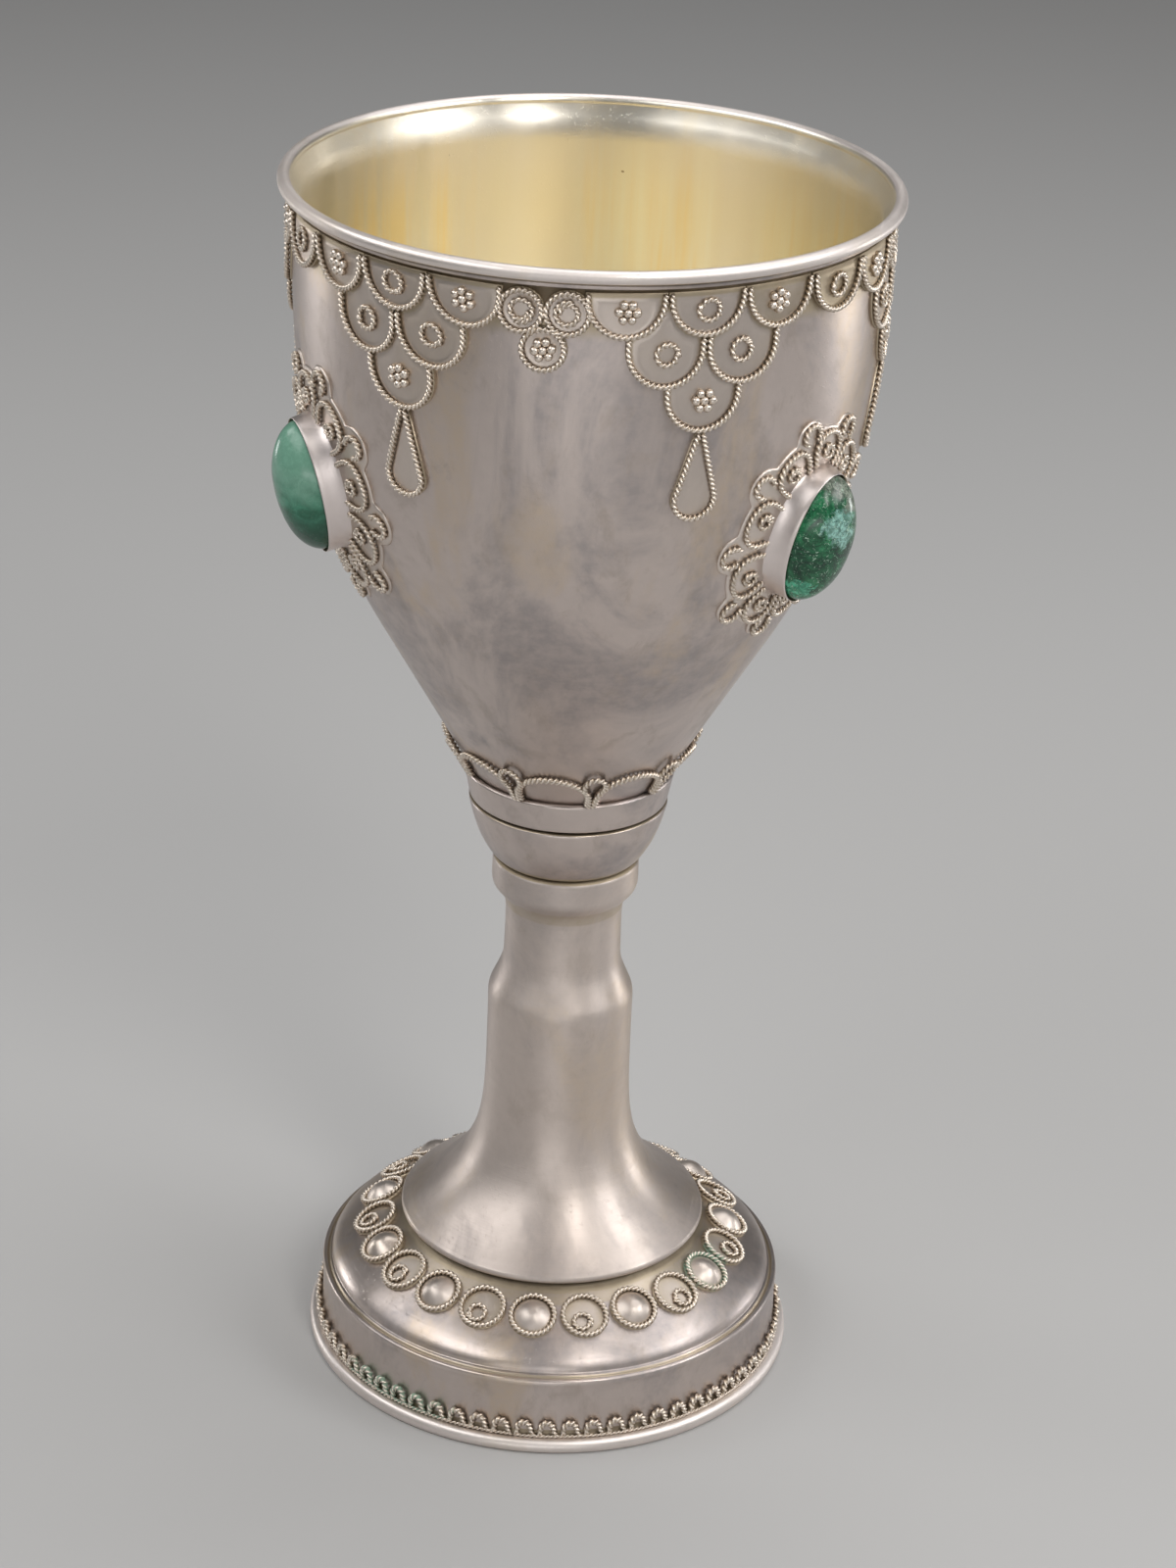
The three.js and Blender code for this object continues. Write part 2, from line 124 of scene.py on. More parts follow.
WAVE_RADIUS = 34.0
SKIRT_FACE = 33.55


# ---- Curves ----

def bezier(p0, p1, p2, p3, count):
    t = np.linspace(0, 1, count)[:, None]
    p0, p1, p2, p3 = (np.array(p, float) for p in (p0, p1, p2, p3))
    return (1 - t) ** 3 * p0 + 3 * t * (1 - t) ** 2 * p1 + 3 * t * t * (1 - t) * p2 + t ** 3 * p3


# Steps along the cone, the bend and the straight part of the bowl's wall
CONE_STEPS, BEND_STEPS, STRAIGHT_STEPS = 79, 199, 19


def wall_curve():
    """The bowl's outer wall from the foot of the cone to the ledge, as (radius, height)."""
    top = np.array(CONE_TOP)
    handle = top + CONE_BLEND * np.array([math.sin(CONE_SLOPE), math.cos(CONE_SLOPE)])
    below, start = (WALL_RADIUS, WALL_START - WALL_BLEND), (WALL_RADIUS, WALL_START)
    bend = bezier(top, handle, below, start, BEND_STEPS + 1)
    cone = np.linspace(CONE_BOTTOM, CONE_TOP, CONE_STEPS + 1)[:-1]
    straight = np.linspace(start, (WALL_RADIUS, LEDGE), STRAIGHT_STEPS + 1)[1:]
    return np.vstack([cone, bend, straight])


WALL_POINTS = wall_curve()
WALL_RUN = np.concatenate([[0], np.cumsum(np.linalg.norm(np.diff(WALL_POINTS, axis=0), axis=1))])
WALL_TANGENTS = np.gradient(WALL_POINTS, WALL_RUN, axis=0)


def wall_at(run):
    """Radius, height and outward normal of the wall at a run along it."""
    r, z, tr, tz = (np.interp(run, WALL_RUN, column)
                    for column in (*WALL_POINTS.T, *WALL_TANGENTS.T))
    length = np.hypot(tr, tz)
    return r, z, tz / length, -tr / length


def run_at(height):
    return np.interp(height, WALL_POINTS[:, 1], WALL_RUN)


def around(radius, azimuth, z):
    angle = np.radians(azimuth)
    return np.stack([radius * np.sin(angle), -radius * np.cos(angle), z + 0 * angle], axis=-1)


def on_bowl(azimuth, height, true_radius=None):
    """Maps flat (across, up, off) points to the bowl's wall."""
    start = run_at(height)

    def place(points):
        x, y, off = np.asarray(points, float).T
        r, z, nr, nz = wall_at(start + y)
        turn = azimuth + np.degrees(x / (true_radius or r))
        return around(r + nr * off, turn, z + nz * off)
    return place


def flat_seat(azimuth, point, normal):
    """Maps (across, up, off) points to a plane, given a point of it and its normal as
    (radius, height)."""
    out = around(normal[0], azimuth, normal[1])
    side = around(1.0, azimuth + 90, 0.0)
    up = np.cross(out, side)
    centre = around(point[0], azimuth, point[1])

    def place(points):
        points = np.asarray(points, float)
        return centre + points[:, :1] * side + points[:, 1:2] * up + points[:, 2:] * out
    return place


def tangent_seat(azimuth, height):
    """The plane that touches the bowl's wall at a height."""
    r, z, nr, nz = wall_at(run_at(height))
    return flat_seat(azimuth, (r, z), (nr, nz))


DOME = bezier(*DOME_POINTS, 60)


def on_foot(azimuth):
    """The plane that touches the foot's dome at the middle of a boss."""
    i = int(np.argmin(np.abs(DOME[:, 0] - BOSS_CENTRE)))
    outward, down = DOME[i - 1] - DOME[i + 1]
    length = math.hypot(outward, down)
    return flat_seat(azimuth, DOME[i], (-down / length, outward / length))


def arc(x, y, rx, ry, start, end, count):
    """Points of an elliptical arc; 0 degrees is to the right, 90 up."""
    angle = np.radians(np.linspace(start, end, count))
    return np.stack([x + rx * np.cos(angle), y + ry * np.sin(angle)], axis=1)


def circle(x, y, radius, count):
    return arc(x, y, radius, radius, 0, 360, count + 1)[:-1]


def smooth(points, rounds=2):
    """Cuts the corners of an open path."""
    for _ in range(rounds):
        a, b = points[:-1], points[1:]
        middle = np.stack([0.75 * a + 0.25 * b, 0.25 * a + 0.75 * b], axis=1).reshape(-1, 2)
        points = np.vstack([points[:1], middle, points[-1:]])
    return points


def evenly(points, step, closed=False):
    """The same path with points an even step apart."""
    points = np.asarray(points, float)
    if closed:
        points = np.vstack([points, points[:1]])
    run = np.concatenate([[0], np.cumsum(np.linalg.norm(np.diff(points, axis=0), axis=1))])
    count = max(int(round(run[-1] / step)), 4)
    at = np.linspace(0, run[-1], count + 1)
    if closed:
        at = at[:-1]
    return np.stack([np.interp(at, run, column) for column in points.T], axis=1)


# ---- Meshes ----

def in_scene(name, data):
    """A new object of the scene."""
    item = bpy.data.objects.new(name, data)
    bpy.context.scene.collection.objects.link(item)
    return item


class Shape:
    """Vertices, faces and how worn (1) or tarnished (0) each vertex is."""

    def __init__(self):
        self.vertices, self.faces, self.wear, self.looks, self.count = [], [], [], [], 0

    def add(self, vertices, faces, wear=1.0, look=0):
        vertices = np.asarray(vertices, float)
        self.vertices.append(vertices)
        self.wear.append(np.broadcast_to(np.asarray(wear, float), len(vertices)))
        base = self.count
        self.faces += [tuple(i + base for i in face) for face in faces]
        self.looks += [look] * len(faces) if isinstance(look, int) else list(look)
        self.count += len(vertices)

    def build(self, name, nodes, materials, seat=None):
        mesh = bpy.data.meshes.new(name)
        mesh.from_pydata((np.vstack(self.vertices) * MM).tolist(), [], self.faces)
        mesh.polygons.foreach_set("use_smooth", [True] * len(self.faces))
        mesh.polygons.foreach_set("material_index", self.looks)
        wear = mesh.attributes.new("wear", "FLOAT", "POINT")
        wear.data.foreach_set("value", np.concatenate(self.wear))
        if seat is not None:
            local = mesh.attributes.new("seat", "FLOAT_VECTOR", "POINT")
            local.data.foreach_set("vector", np.asarray(seat, float).ravel())
        for material in materials:
            mesh.materials.append(material)
        piece = in_scene(name, mesh)
        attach(piece, "root")
        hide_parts(*nodes)

    def wirework(self, node, *plates):
        """Builds a piece made of twisted wire and, where it has them, plates."""
        self.build(f"{node}_wirework", [node], [WIREWORK, *plates])


def grid_faces(rows, columns, wrap_rows=False):
    """Faces between rings of points; wrap_rows joins the last ring to the first."""
    faces = []
    for i in range(rows if wrap_rows else rows - 1):
        here, above = i * columns, (i + 1) % rows * columns
        for j in range(columns):
            k = (j + 1) % columns
            faces.append((here + j, here + k, above + k, above + j))
    return faces


def capped_faces(rows, columns):
    """Faces between rings of points, closed by a point for the first ring and one for the last."""
    first, last = rows * columns, (rows - 1) * columns
    faces = grid_faces(rows, columns)
    faces += [(first, (j + 1) % columns, j) for j in range(columns)]
    faces += [(last + j, last + (j + 1) % columns, first + 1) for j in range(columns)]
    return faces


def flipped(faces):
    return [face[::-1] for face in faces]


def level(x, y, height):
    """Flat points (x, y) at one height."""
    return np.column_stack([x, y, np.full(len(x), height)])


def rounded(corners, steps=5):
    """A profile of (radius, height, rounding) corners with each corner rounded off."""
    count = len(corners)
    points = []
    for i, (r, z, cut) in enumerate(corners):
        here = np.array([r, z])
        if not cut:
            points.append(here)
            continue
        before = np.array(corners[i - 1][:2]) - here
        after = np.array(corners[(i + 1) % count][:2]) - here
        cut_a = min(cut, 0.48 * np.linalg.norm(before))
        cut_b = min(cut, 0.48 * np.linalg.norm(after))
        a = here + before / np.linalg.norm(before) * cut_a
        b = here + after / np.linalg.norm(after) * cut_b
        for t in np.linspace(0, 1, steps):
            points.append((1 - t) ** 2 * a + 2 * t * (1 - t) * here + t * t * b)
    return np.array(points)


def turned(shape, profile, segments, wear=1.0, look=0, ripple=0.0):
    """Adds a profile turned about +Z. It runs anticlockwise seen with the axis on its left;
    where it starts and ends on the axis, the ends are single points."""
    profile = np.asarray(profile, float)
    wear = np.broadcast_to(np.asarray(wear, float), len(profile))
    looks = [look] * len(profile) if isinstance(look, int) else list(look)
    azimuths = np.arange(segments) * 360 / segments
    capped = profile[0, 0] == 0
    body = profile[1:-1] if capped else profile
    body_wear = wear[1:-1] if capped else wear
    swell = np.zeros((len(body), segments))
    if ripple:
        phases = [dice.uniform(0, TAU) for _ in range(5)]
        for k, phase in enumerate(phases, start=2):
            along = np.sin(body[:, 1] / (7 + 3 * k) + phase)[:, None]
            along *= np.clip((HEIGHT - 6 - body[:, 1]) / 12, 0, 1)[:, None]
            swell += ripple / k * along * np.cos(np.radians(azimuths) * k + phase * 2)[None, :]
    vertices = np.vstack([around(r + swell[i], azimuths, z) for i, (r, z) in enumerate(body)])
    values = np.repeat(body_wear, segments)
    if capped:
        faces = capped_faces(len(body), segments)
        face_looks = np.repeat([*looks[1:-2], looks[0], looks[-1]], segments).tolist()
        vertices = np.vstack([vertices, [[0, 0, profile[0, 1]], [0, 0, profile[-1, 1]]]])
        values = np.concatenate([values, [wear[0], wear[-1]]])
    else:
        faces = grid_faces(len(body), segments, wrap_rows=True)
        face_looks = np.repeat(looks, segments).tolist()
    shape.add(vertices, faces, values, face_looks)


# Angles round the section of a two-ply wire, and how far the section reaches there
SECTION_TURNS = np.radians([0, 38, 68, 112, 142, 180, 218, 248, 292, 322])
SECTION_REACH = np.maximum(np.abs(np.cos(SECTION_TURNS)), 0.5)


def rope(shape, path, place, closed=False, radius=WIRE, pitch=PITCH, lift=None, swell=None):
    """Adds a two-ply twisted wire along a flat path that place() maps to the cup; swell() gives
    each point's share of the radius."""
    flat = evenly(path, ROPE_STEP, closed)
    lift = PLATE + 0.8 * radius if lift is None else lift
    count = len(flat)
    centre = place(level(*flat.T, lift))
    above = place(level(*flat.T, lift + 0.05)) - centre
    above /= np.linalg.norm(above, axis=1)[:, None]
    ahead = np.roll(centre, -1, axis=0) - np.roll(centre, 1, axis=0)
    if not closed:
        ahead[0], ahead[-1] = centre[1] - centre[0], centre[-1] - centre[-2]
    ahead /= np.linalg.norm(ahead, axis=1)[:, None]
    side = np.cross(ahead, above)
    side /= np.linalg.norm(side, axis=1)[:, None]
    above = np.cross(side, ahead)
    length = np.linalg.norm(np.diff(centre, axis=0), axis=1).sum()
    turns = length / pitch
    if closed:
        turns = round(turns)
    spin = dice.uniform(0, TAU) + TAU * turns * np.arange(count) / (count if closed else count - 1)
    angle = spin[:, None] + SECTION_TURNS[None, :]
    size = radius * (np.ones(count) if swell is None else swell(flat))
    if not closed:
        size[[0, -1]] *= 0.55
        size[[1, -2]] *= 0.9
    reach = size[:, None] * SECTION_REACH[None, :]
    across, rise = reach * np.cos(angle), reach * np.sin(angle)
    ring = (centre[:, None, :] + across[..., None] * side[:, None, :]
            + rise[..., None] * above[:, None, :])
    crest = SECTION_REACH[None, :] * (0.64 + 0.36 * np.sin(angle))
    wear = np.clip(1.4 * crest - 0.22, 0, 1)
    sides = len(SECTION_TURNS)
    faces = flipped(grid_faces(count, sides, wrap_rows=closed))
    if not closed:
        last = (count - 1) * sides
        faces += [tuple(range(sides)), tuple(range(last + sides - 1, last - 1, -1))]
    shape.add(ring.reshape(-1, 3), faces, wear.ravel())


# Rings of a plate from its middle to its edge: reach, extra height and wear. A faint ridge
# runs just inside the wire, where the plate was pressed down beside it.
PLATE_RINGS = ((0.3, 0.0, 1.0), (0.56, 0.0, 1.0), (0.67, 0.02, 1.0), (0.73, 0.07, 1.0),
               (0.79, 0.01, 0.9), (0.87, 0.0, 0.55), (0.97, 0.0, 0.45), (1.0, -0.05, 0.6))
FLAT_RINGS = ((0.4, 0.0, 1.0), (0.8, 0.0, 0.8), (1.0, -0.03, 0.5))


def plate(shape, outline, place, top=PLATE, rings=PLATE_RINGS, sunk=-0.12, stain=0.0):
    """Adds a thin closed plate inside a flat outline that its middle can see all of."""
    outline = np.asarray(outline, float)
    middle = outline.mean(axis=0)
    spokes = len(outline)
    layers, values = [], []
    for f, rise, wear in rings:
        layers.append(level(*(middle + f * (outline - middle)).T, top + rise))
        values += [wear * (1 - stain)] * spokes
    for f in (1.0, 0.5):
        layers.append(level(*(middle + f * (outline - middle)).T, sunk))
        values += [0.3] * spokes
    faces = capped_faces(len(layers), spokes)
    area = np.cross(outline, np.roll(outline, -1, axis=0)).sum()
    if area > 0:
        faces = flipped(faces)
    local = np.vstack([*layers, [[*middle, top], [*middle, sunk]]])
    shape.add(place(local), faces, values + [1 - stain, 0.3], 1)


BALL_ROWS, BALL_COLUMNS = 7, 12


def ball(shape, centre, radius, out):
    """Adds a granule; the side towards out is worn bright."""
    tilt = np.linspace(0, math.pi, BALL_ROWS + 1)[1:-1]
    turn = np.arange(BALL_COLUMNS) * TAU / BALL_COLUMNS
    unit = np.array([[math.sin(a) * math.cos(b), math.sin(a) * math.sin(b), math.cos(a)]
                     for a in tilt for b in turn] + [[0, 0, 1], [0, 0, -1]])
    faces = flipped(capped_faces(len(tilt), BALL_COLUMNS))
    wear = np.clip(0.55 + 0.6 * unit @ out, 0, 1)
    shape.add(centre + radius * unit, faces, wear)


def granules(shape, x, y, place, spacing=1.1):
    """Adds seven granules: one in the middle of six."""
    lift = PLATE + 0.3
    turn = dice.uniform(0, 60)
    spots = [(x, y)] + [tuple(p) for p in arc(x, y, spacing, spacing, turn, turn + 300, 6)]
    for sx, sy in spots:
        wobble = [dice.uniform(-0.05, 0.05) for _ in range(2)]
        at = np.array([[sx + wobble[0], sy + wobble[1], lift], [sx, sy, lift + 1]])
        centre, above = place(at)
        out = (above - centre) / np.linalg.norm(above - centre)
        ball(shape, centre, GRANULE * dice.uniform(0.93, 1.05), out)


def curl(shape, x, y, place, radius=1.42, turns=1.08, end=0.8, lift=None):
    """Adds a small ring of twisted wire whose end curls inside its start."""
    start = dice.uniform(0, 360)
    angle = np.radians(np.linspace(start, start + 360 * turns, 60))
    shrink = 1 - (1 - end) * np.linspace(0, 1, 60) ** 2
    path = np.stack([x + radius * shrink * np.cos(angle), y + radius * shrink * np.sin(angle)], axis=1)
    rope(shape, path, place, radius=WIRE * 0.9, lift=lift)


def scallop_path(x, y, depth, half=SCALLOP):
    """A wire's path like the letter U with a round bottom, hanging from (x, y)."""
    drop = depth - half
    bowl = arc(x, y - drop, half, half, 180, 360, 40)
    return np.vstack([[x - half, y], bowl, [x + half, y]])


# The upper edge of a plate that fills the notch between the two scallops over it
NOTCH_HALF = [(4.6, 0.6), (2.8, 1.2), (1.2, 2.8), (0.5, 4.8)]
NOTCH = NOTCH_HALF + [(-across, up) for across, up in NOTCH_HALF[::-1]]


def scallop(shape, x, y, depth, place, fill, row=0, stain=0.0):
    """Adds one scallop: its plate, its wire and what fills it."""
    depth += dice.uniform(-0.12, 0.12)
    top = PLATE + ROW_STEP * (2 - row)
    outline = scallop_path(x, y + 0.1, depth + 0.5, SCALLOP + 0.35)
    above = NOTCH if row else [(3, 0.1), (0, 0.1), (-3, 0.1)]
    outline = np.vstack([outline, [[x + across, y + up] for across, up in above]])
    plate(shape, outline, place, top=top, stain=stain)
    rope(shape, scallop_path(x, y, depth), place, lift=top + 0.8 * WIRE)
    middle = y - depth * (0.34 if row else 0.42)
    sway = dice.uniform(-0.25, 0.25)
    if fill == "ring":
        curl(shape, x + sway, middle, place)
    else:
        granules(shape, x + sway, middle, place)


def stain_at(azimuth):
    """How yellow the plates are at an azimuth: most at the right of the front."""
    away = (azimuth - 62 + 180) % 360 - 180
    return 0.42 * math.exp(-(away / 24) ** 2) + dice.uniform(0.0, 0.12)


# ---- Filigree of the bowl ----

def pendant(number, azimuth, lean):
    """Three rows of scallops, leaning a little, with a teardrop that hangs straight."""
    shape = Shape()
    upright = on_bowl(azimuth, ROWS[0][0])

    def place(points):
        points = np.array(points, float)
        points[:, 0] -= points[:, 1] * math.tan(math.radians(lean))
        return upright(points)
    pitch = WALL_RADIUS * math.radians(SECTOR)
    fills = (("balls", "ring", "balls"), ("ring", "ring"), ("balls",))
    for row in (2, 1, 0):
        top, depth = ROWS[row]
        count = 3 - row
        for i in range(count):
            x = (i - (count - 1) / 2) * pitch
            stain = stain_at(azimuth + math.degrees(x / WALL_RADIUS)) * (1 - 0.4 * row)
            scallop(shape, x, top - ROWS[0][0], depth, place, fills[row][i], row, stain)
    apex = ROWS[2][0] - ROWS[0][0] - ROWS[2][1] - WIRE
    tip = -apex * math.tan(math.radians(lean))
    radius = TEARDROP_RADIUS * dice.uniform(0.97, 1.04)
    bend = math.degrees(math.asin(radius / TEARDROP_DROP))

    def teardrop(reach, half_gap):
        end = arc(tip * 0.85, apex - TEARDROP_DROP, reach, reach, 180 - bend, 360 + bend, 30)
        return np.vstack([[tip - half_gap, apex], end, [tip + half_gap, apex]])
    plate(shape, teardrop(radius + 0.38, 0.6), upright)
    rope(shape, teardrop(radius, 0.25), upright)
    shape.wirework(f"pendant_{number}", PLATES)


def trefoil(number, azimuth):
    """Two wire rings side by side with a spiral in each, and a third ring with granules."""
    shape = Shape()
    place = on_bowl(azimuth, ROWS[0][0])
    for i, (x, y) in enumerate(TREFOIL):
        # Each plate lies a little higher than those it overlaps
        top = PLATE + (0, ROW_STEP, ROW_STEP + 0.01)[i]
        plate(shape, circle(x, y, TREFOIL_RADIUS + 0.4, 32), place, top=top, stain=0.15)
        rope(shape, circle(x, y, TREFOIL_RADIUS, 48), place, closed=True)
        if x:
            curl(shape, x, y, place, radius=1.5, turns=1.35, end=0.6)
        else:
            granules(shape, x, y, place, spacing=1.05)
    shape.wirework(f"trefoil_{number}", PLATES)


def single_scallop(number, azimuth):
    shape = Shape()
    place = on_bowl(azimuth, ROWS[0][0])
    scallop(shape, 0, 0, ROWS[0][1], place, "ring", stain=stain_at(azimuth))
    shape.wirework(f"scallop_{number}", PLATES)


def rosette_point(angle, reach, seat):
    """A point of a rosette: reach 0 is the bezel's foot, 1 the tops of the lobes."""
    across, up = (inner + reach * (outer * seat["reach"] - inner)
                  for inner, outer in zip(ROSETTE_INNER, ROSETTE_OUTER))
    turn = np.radians(np.asarray(angle) + seat["turn"])
    return np.stack([across * np.sin(turn), up * np.cos(turn)], axis=-1)


# Where the loops' middles stand, as a rosette_point reach, and the half width of the plate's
# bump under one, in degrees
LOOP_REACH, LOOP_HALF = 1.15, 10.5
# Rings of a rosette's plate, over its top and back below: share of the way out, height and wear
ROSETTE_RINGS = ((0, PLATE, 0.8), (0.3, PLATE, 0.85), (0.6, PLATE, 0.85), (0.85, PLATE, 0.9),
                 (0.96, PLATE, 1.0), (1.0, 0.1, 0.9), (1.0, -0.12, 0.5), (0.5, -0.12, 0.3),
                 (0, -0.12, 0.3))


def rosette_plate(shape, place, seat):
    """Adds the plate: a collar with a lobe under each wire lobe and a bump under each loop."""
    pitch = 360 / LOBES
    spokes = LOBES * 24
    angle = np.arange(spokes) * 360 / spokes
    from_notch = np.abs((angle + pitch) % pitch - pitch / 2)
    lobe = 1.16 - 0.12 * (1 - from_notch / (pitch / 2)) ** 2
    bump = LOOP_REACH + 0.41 * np.sqrt(np.clip(1 - (from_notch / LOOP_HALF) ** 2, 0, 1))
    edge = np.where(from_notch < LOOP_HALF, np.maximum(lobe, bump), lobe)
    layers, values = [], []
    for f, height, wear in ROSETTE_RINGS:
        reach = -0.1 + f * (edge + 0.1)
        layers.append(level(*rosette_point(angle, reach, seat).T, height))
        values += [wear] * spokes
    faces = grid_faces(len(layers), spokes, wrap_rows=True)
    shape.add(place(np.vstack(layers)), faces, values, 1)


# Half of a lobe's wire, from its foot to its top: share of its half width, and reach
LOBE = ((0.96, -0.02), (1.01, 0.18), (1.04, 0.38), (0.99, 0.58),
        (0.84, 0.76), (0.6, 0.9), (0.3, 0.98), (0.0, 1.0))


def rosette(number, seat):
    """Lobes of twisted wire round a stone, a curl in each and a loop between two."""
    shape = Shape()
    place = on_bowl(seat["azimuth"], seat["height"])
    rosette_plate(shape, place, seat)
    spread = np.array([-a for a, _ in LOBE] + [a for a, _ in LOBE[-2::-1]])
    reaches = np.array([r for _, r in LOBE] + [r for _, r in LOBE[-2::-1]])
    for k in range(LOBES):
        turn = 360 * k / LOBES
        half = 15.5 + dice.uniform(-0.7, 0.7)
        rope(shape, smooth(rosette_point(turn + half * spread, reaches, seat)), place)
        x, y = rosette_point(turn + dice.uniform(-2.5, 2.5), 0.38, seat)
        curl(shape, x, y, place, radius=0.98, turns=1.35, end=0.45)
        x, y = rosette_point(turn + 180 / LOBES, LOOP_REACH, seat)
        facing = math.degrees(math.atan2(y, x))
        rope(shape, arc(x, y, 1.42, 1.42, facing - 142, facing + 142, 36), place)
    shape.wirework(f"rosette_{number}", BRIGHT_PLATES if number == 1 else PLATES)


def arch_border():
    """Round arches of thick wire about the bottom of the cone, and a keyhole between two."""
    shape = Shape()
    half = (TAU * ARCH_RADIUS / ARCHES - ARCH_GAP) / 2
    for k in range(ARCHES):
        place = on_bowl(360 * k / ARCHES, ARCH_FOOT, ARCH_RADIUS)
        height = ARCH_HEIGHT + dice.uniform(-0.2, 0.2)
        path = np.vstack([[-half, -0.3], arc(0, 1.0, half, height - 1.0, 180, 0, 40), [half, -0.3]])
        rope(shape, path, place, radius=0.52, lift=0.5)
        place = on_bowl(360 * (k + 0.5) / ARCHES, ARCH_FOOT, ARCH_RADIUS)
        loop = arc(0, 4.2, 1.35, 1.85, -62, 242, 36)
        stalk = np.array([[0.3, -0.4], [0.36, 0.9], [0.5, 1.9]])
        path = smooth(np.vstack([stalk, loop, stalk[::-1] * (-1, 1)]), 1)
        rope(shape, path, place, lift=WIRE + 0.3)
    shape.wirework("arch_border")


# ---- Stones ----

def seat_drop(x, y, height):
    """How far the wall lies behind its tangent plane at (x, y) on a stone's seat."""
    run = run_at(height)
    r0, z0, nr, nz = wall_at(run)
    r, z, _, _ = wall_at(run + y)
    return (np.sqrt(r * r - x * x) - r0) * nr + (z - z0) * nz


# Rings of a bezel: share of the way from its foot to its lip, share of its height, and wear
BEZEL_RINGS = ((0.0, 0.03, 0.5), (0.2, 0.08, 0.9), (0.45, 0.22, 1.0), (0.66, 0.43, 1.0),
               (0.82, 0.68, 1.0), (0.93, 0.92, 1.0), (1.0, 1.1, 1.0), (1.08, 1.15, 0.9),
               (1.2, 1.13, 0.4), (1.27, 1.0, 0.1))


def bezel(number, seat):
    """The polished setting: a wide hollow flare outside, a thin lip against the stone."""
    shape = Shape()
    segments = 96
    angle = np.arange(segments) * TAU / segments
    foot = np.array(BEZEL)
    lip = np.array(STONE) + 0.4
    layers, values = [], []
    for share, f, wear in BEZEL_RINGS:
        a, b = foot + share * (lip - foot)
        x, y = a * np.cos(angle), b * np.sin(angle)
        dent = 1 + 0.01 * np.cos(5 * angle + number) * math.sin(math.pi * min(share, 1))
        low = seat_drop(x, y, seat["height"])
        layers.append(np.column_stack([x * dent, y * dent, low + f * (BEZEL_RISE - low)]))
        values += [wear] * segments
    layers.append(level(STONE[0] * np.cos(angle), STONE[1] * np.sin(angle), 0.3))
    values += [0.1] * segments
    faces = grid_faces(len(layers), segments, wrap_rows=True)
    place = tangent_seat(seat["azimuth"], seat["height"])
    shape.add(place(np.vstack(layers)), faces, values)
    shape.build(f"bezel_{number}_setting", [f"bezel_{number}"], [SETTING])


def stone(number, seat):
    """The oval cabochon: a high dome with faintly flattened flanks."""
    shape = Shape()
    rows, segments = 26, 112
    angle = np.arange(segments) * TAU / segments
    x, y = STONE[0] * np.cos(angle), STONE[1] * np.sin(angle)
    girdle = BEZEL_RISE + 0.05
    layers = [level(x, y, STONE_FOOT)]
    for k in range(rows):
        t = k / rows
        scale = math.cos(t * math.pi / 2) ** 0.82
        rise = girdle + seat["dome"] * math.sin(t * math.pi / 2) ** 1.12
        flank = scale * (1 - 0.025 * math.sin(math.pi * t) * np.cos(3 * angle + number) ** 2)
        layers.append(level(x * flank, y * flank, rise))
    local = np.vstack([*layers, [[0, 0, STONE_FOOT], [0, 0, girdle + seat["dome"]]]])
    place = tangent_seat(seat["azimuth"], seat["height"])
    shape.add(place(local), capped_faces(len(layers), segments))
    shape.build(f"stone_{number}_cabochon", [f"stone_{number}"], [STONES[number - 1]], local)


# ---- Filigree of the foot ----

def foot_ring(shape, place):
    """Adds a ring of twisted wire on a plate."""
    outline = circle(0, 0, FOOT_WIRE_RADIUS + 0.3, 36)
    plate(shape, outline, place, top=FOOT_PLATE, rings=FLAT_RINGS, sunk=-0.5, stain=0.2)
    ring = circle(0, 0, FOOT_WIRE_RADIUS, 60)
    rope(shape, ring, place, closed=True, lift=FOOT_PLATE + 0.8 * WIRE)


def boss(number, azimuth):
    """A smooth domed boss inside a ring of twisted wire."""
    shape = Shape()
    place = on_foot(azimuth)
    foot_ring(shape, place)
    segments, rows = 48, 12
    low, high = -0.2, 1.6
    layers, values = [level(*circle(0, 0, BOSS_RADIUS, segments).T, low)], [0.0] * segments
    for k in range(rows):
        t = k / rows
        rise = 0.2 + 1.65 * (1 - (1 - t) ** 1.5) * (1 - 0.16 * t ** 3)
        layers.append(level(*circle(0, 0, BOSS_RADIUS * (1 - t), segments).T, rise))
        values += [min(1.0, 0.55 + 1.6 * t)] * segments
    local = np.vstack([*layers, [[0, 0, low], [0, 0, high]]])
    shape.add(place(local), capped_faces(len(layers), segments), values + [0.0, 1.0], 1)
    shape.build(f"boss_{number}_dome", [f"boss_{number}"], [WIREWORK, PLATES])


def eyelet(number, azimuth):
    """A ring of twisted wire with a smaller one against its outer side."""
    shape = Shape()
    place = on_foot(azimuth)
    foot_ring(shape, place)
    lean = dice.uniform(-0.5, 0.5)
    curl(shape, lean, -1.05, place, radius=1.3, turns=1.12, end=0.72,
         lift=FOOT_PLATE + 0.75 * WIRE)
    shape.wirework(f"eyelet_{number}", PLATES)


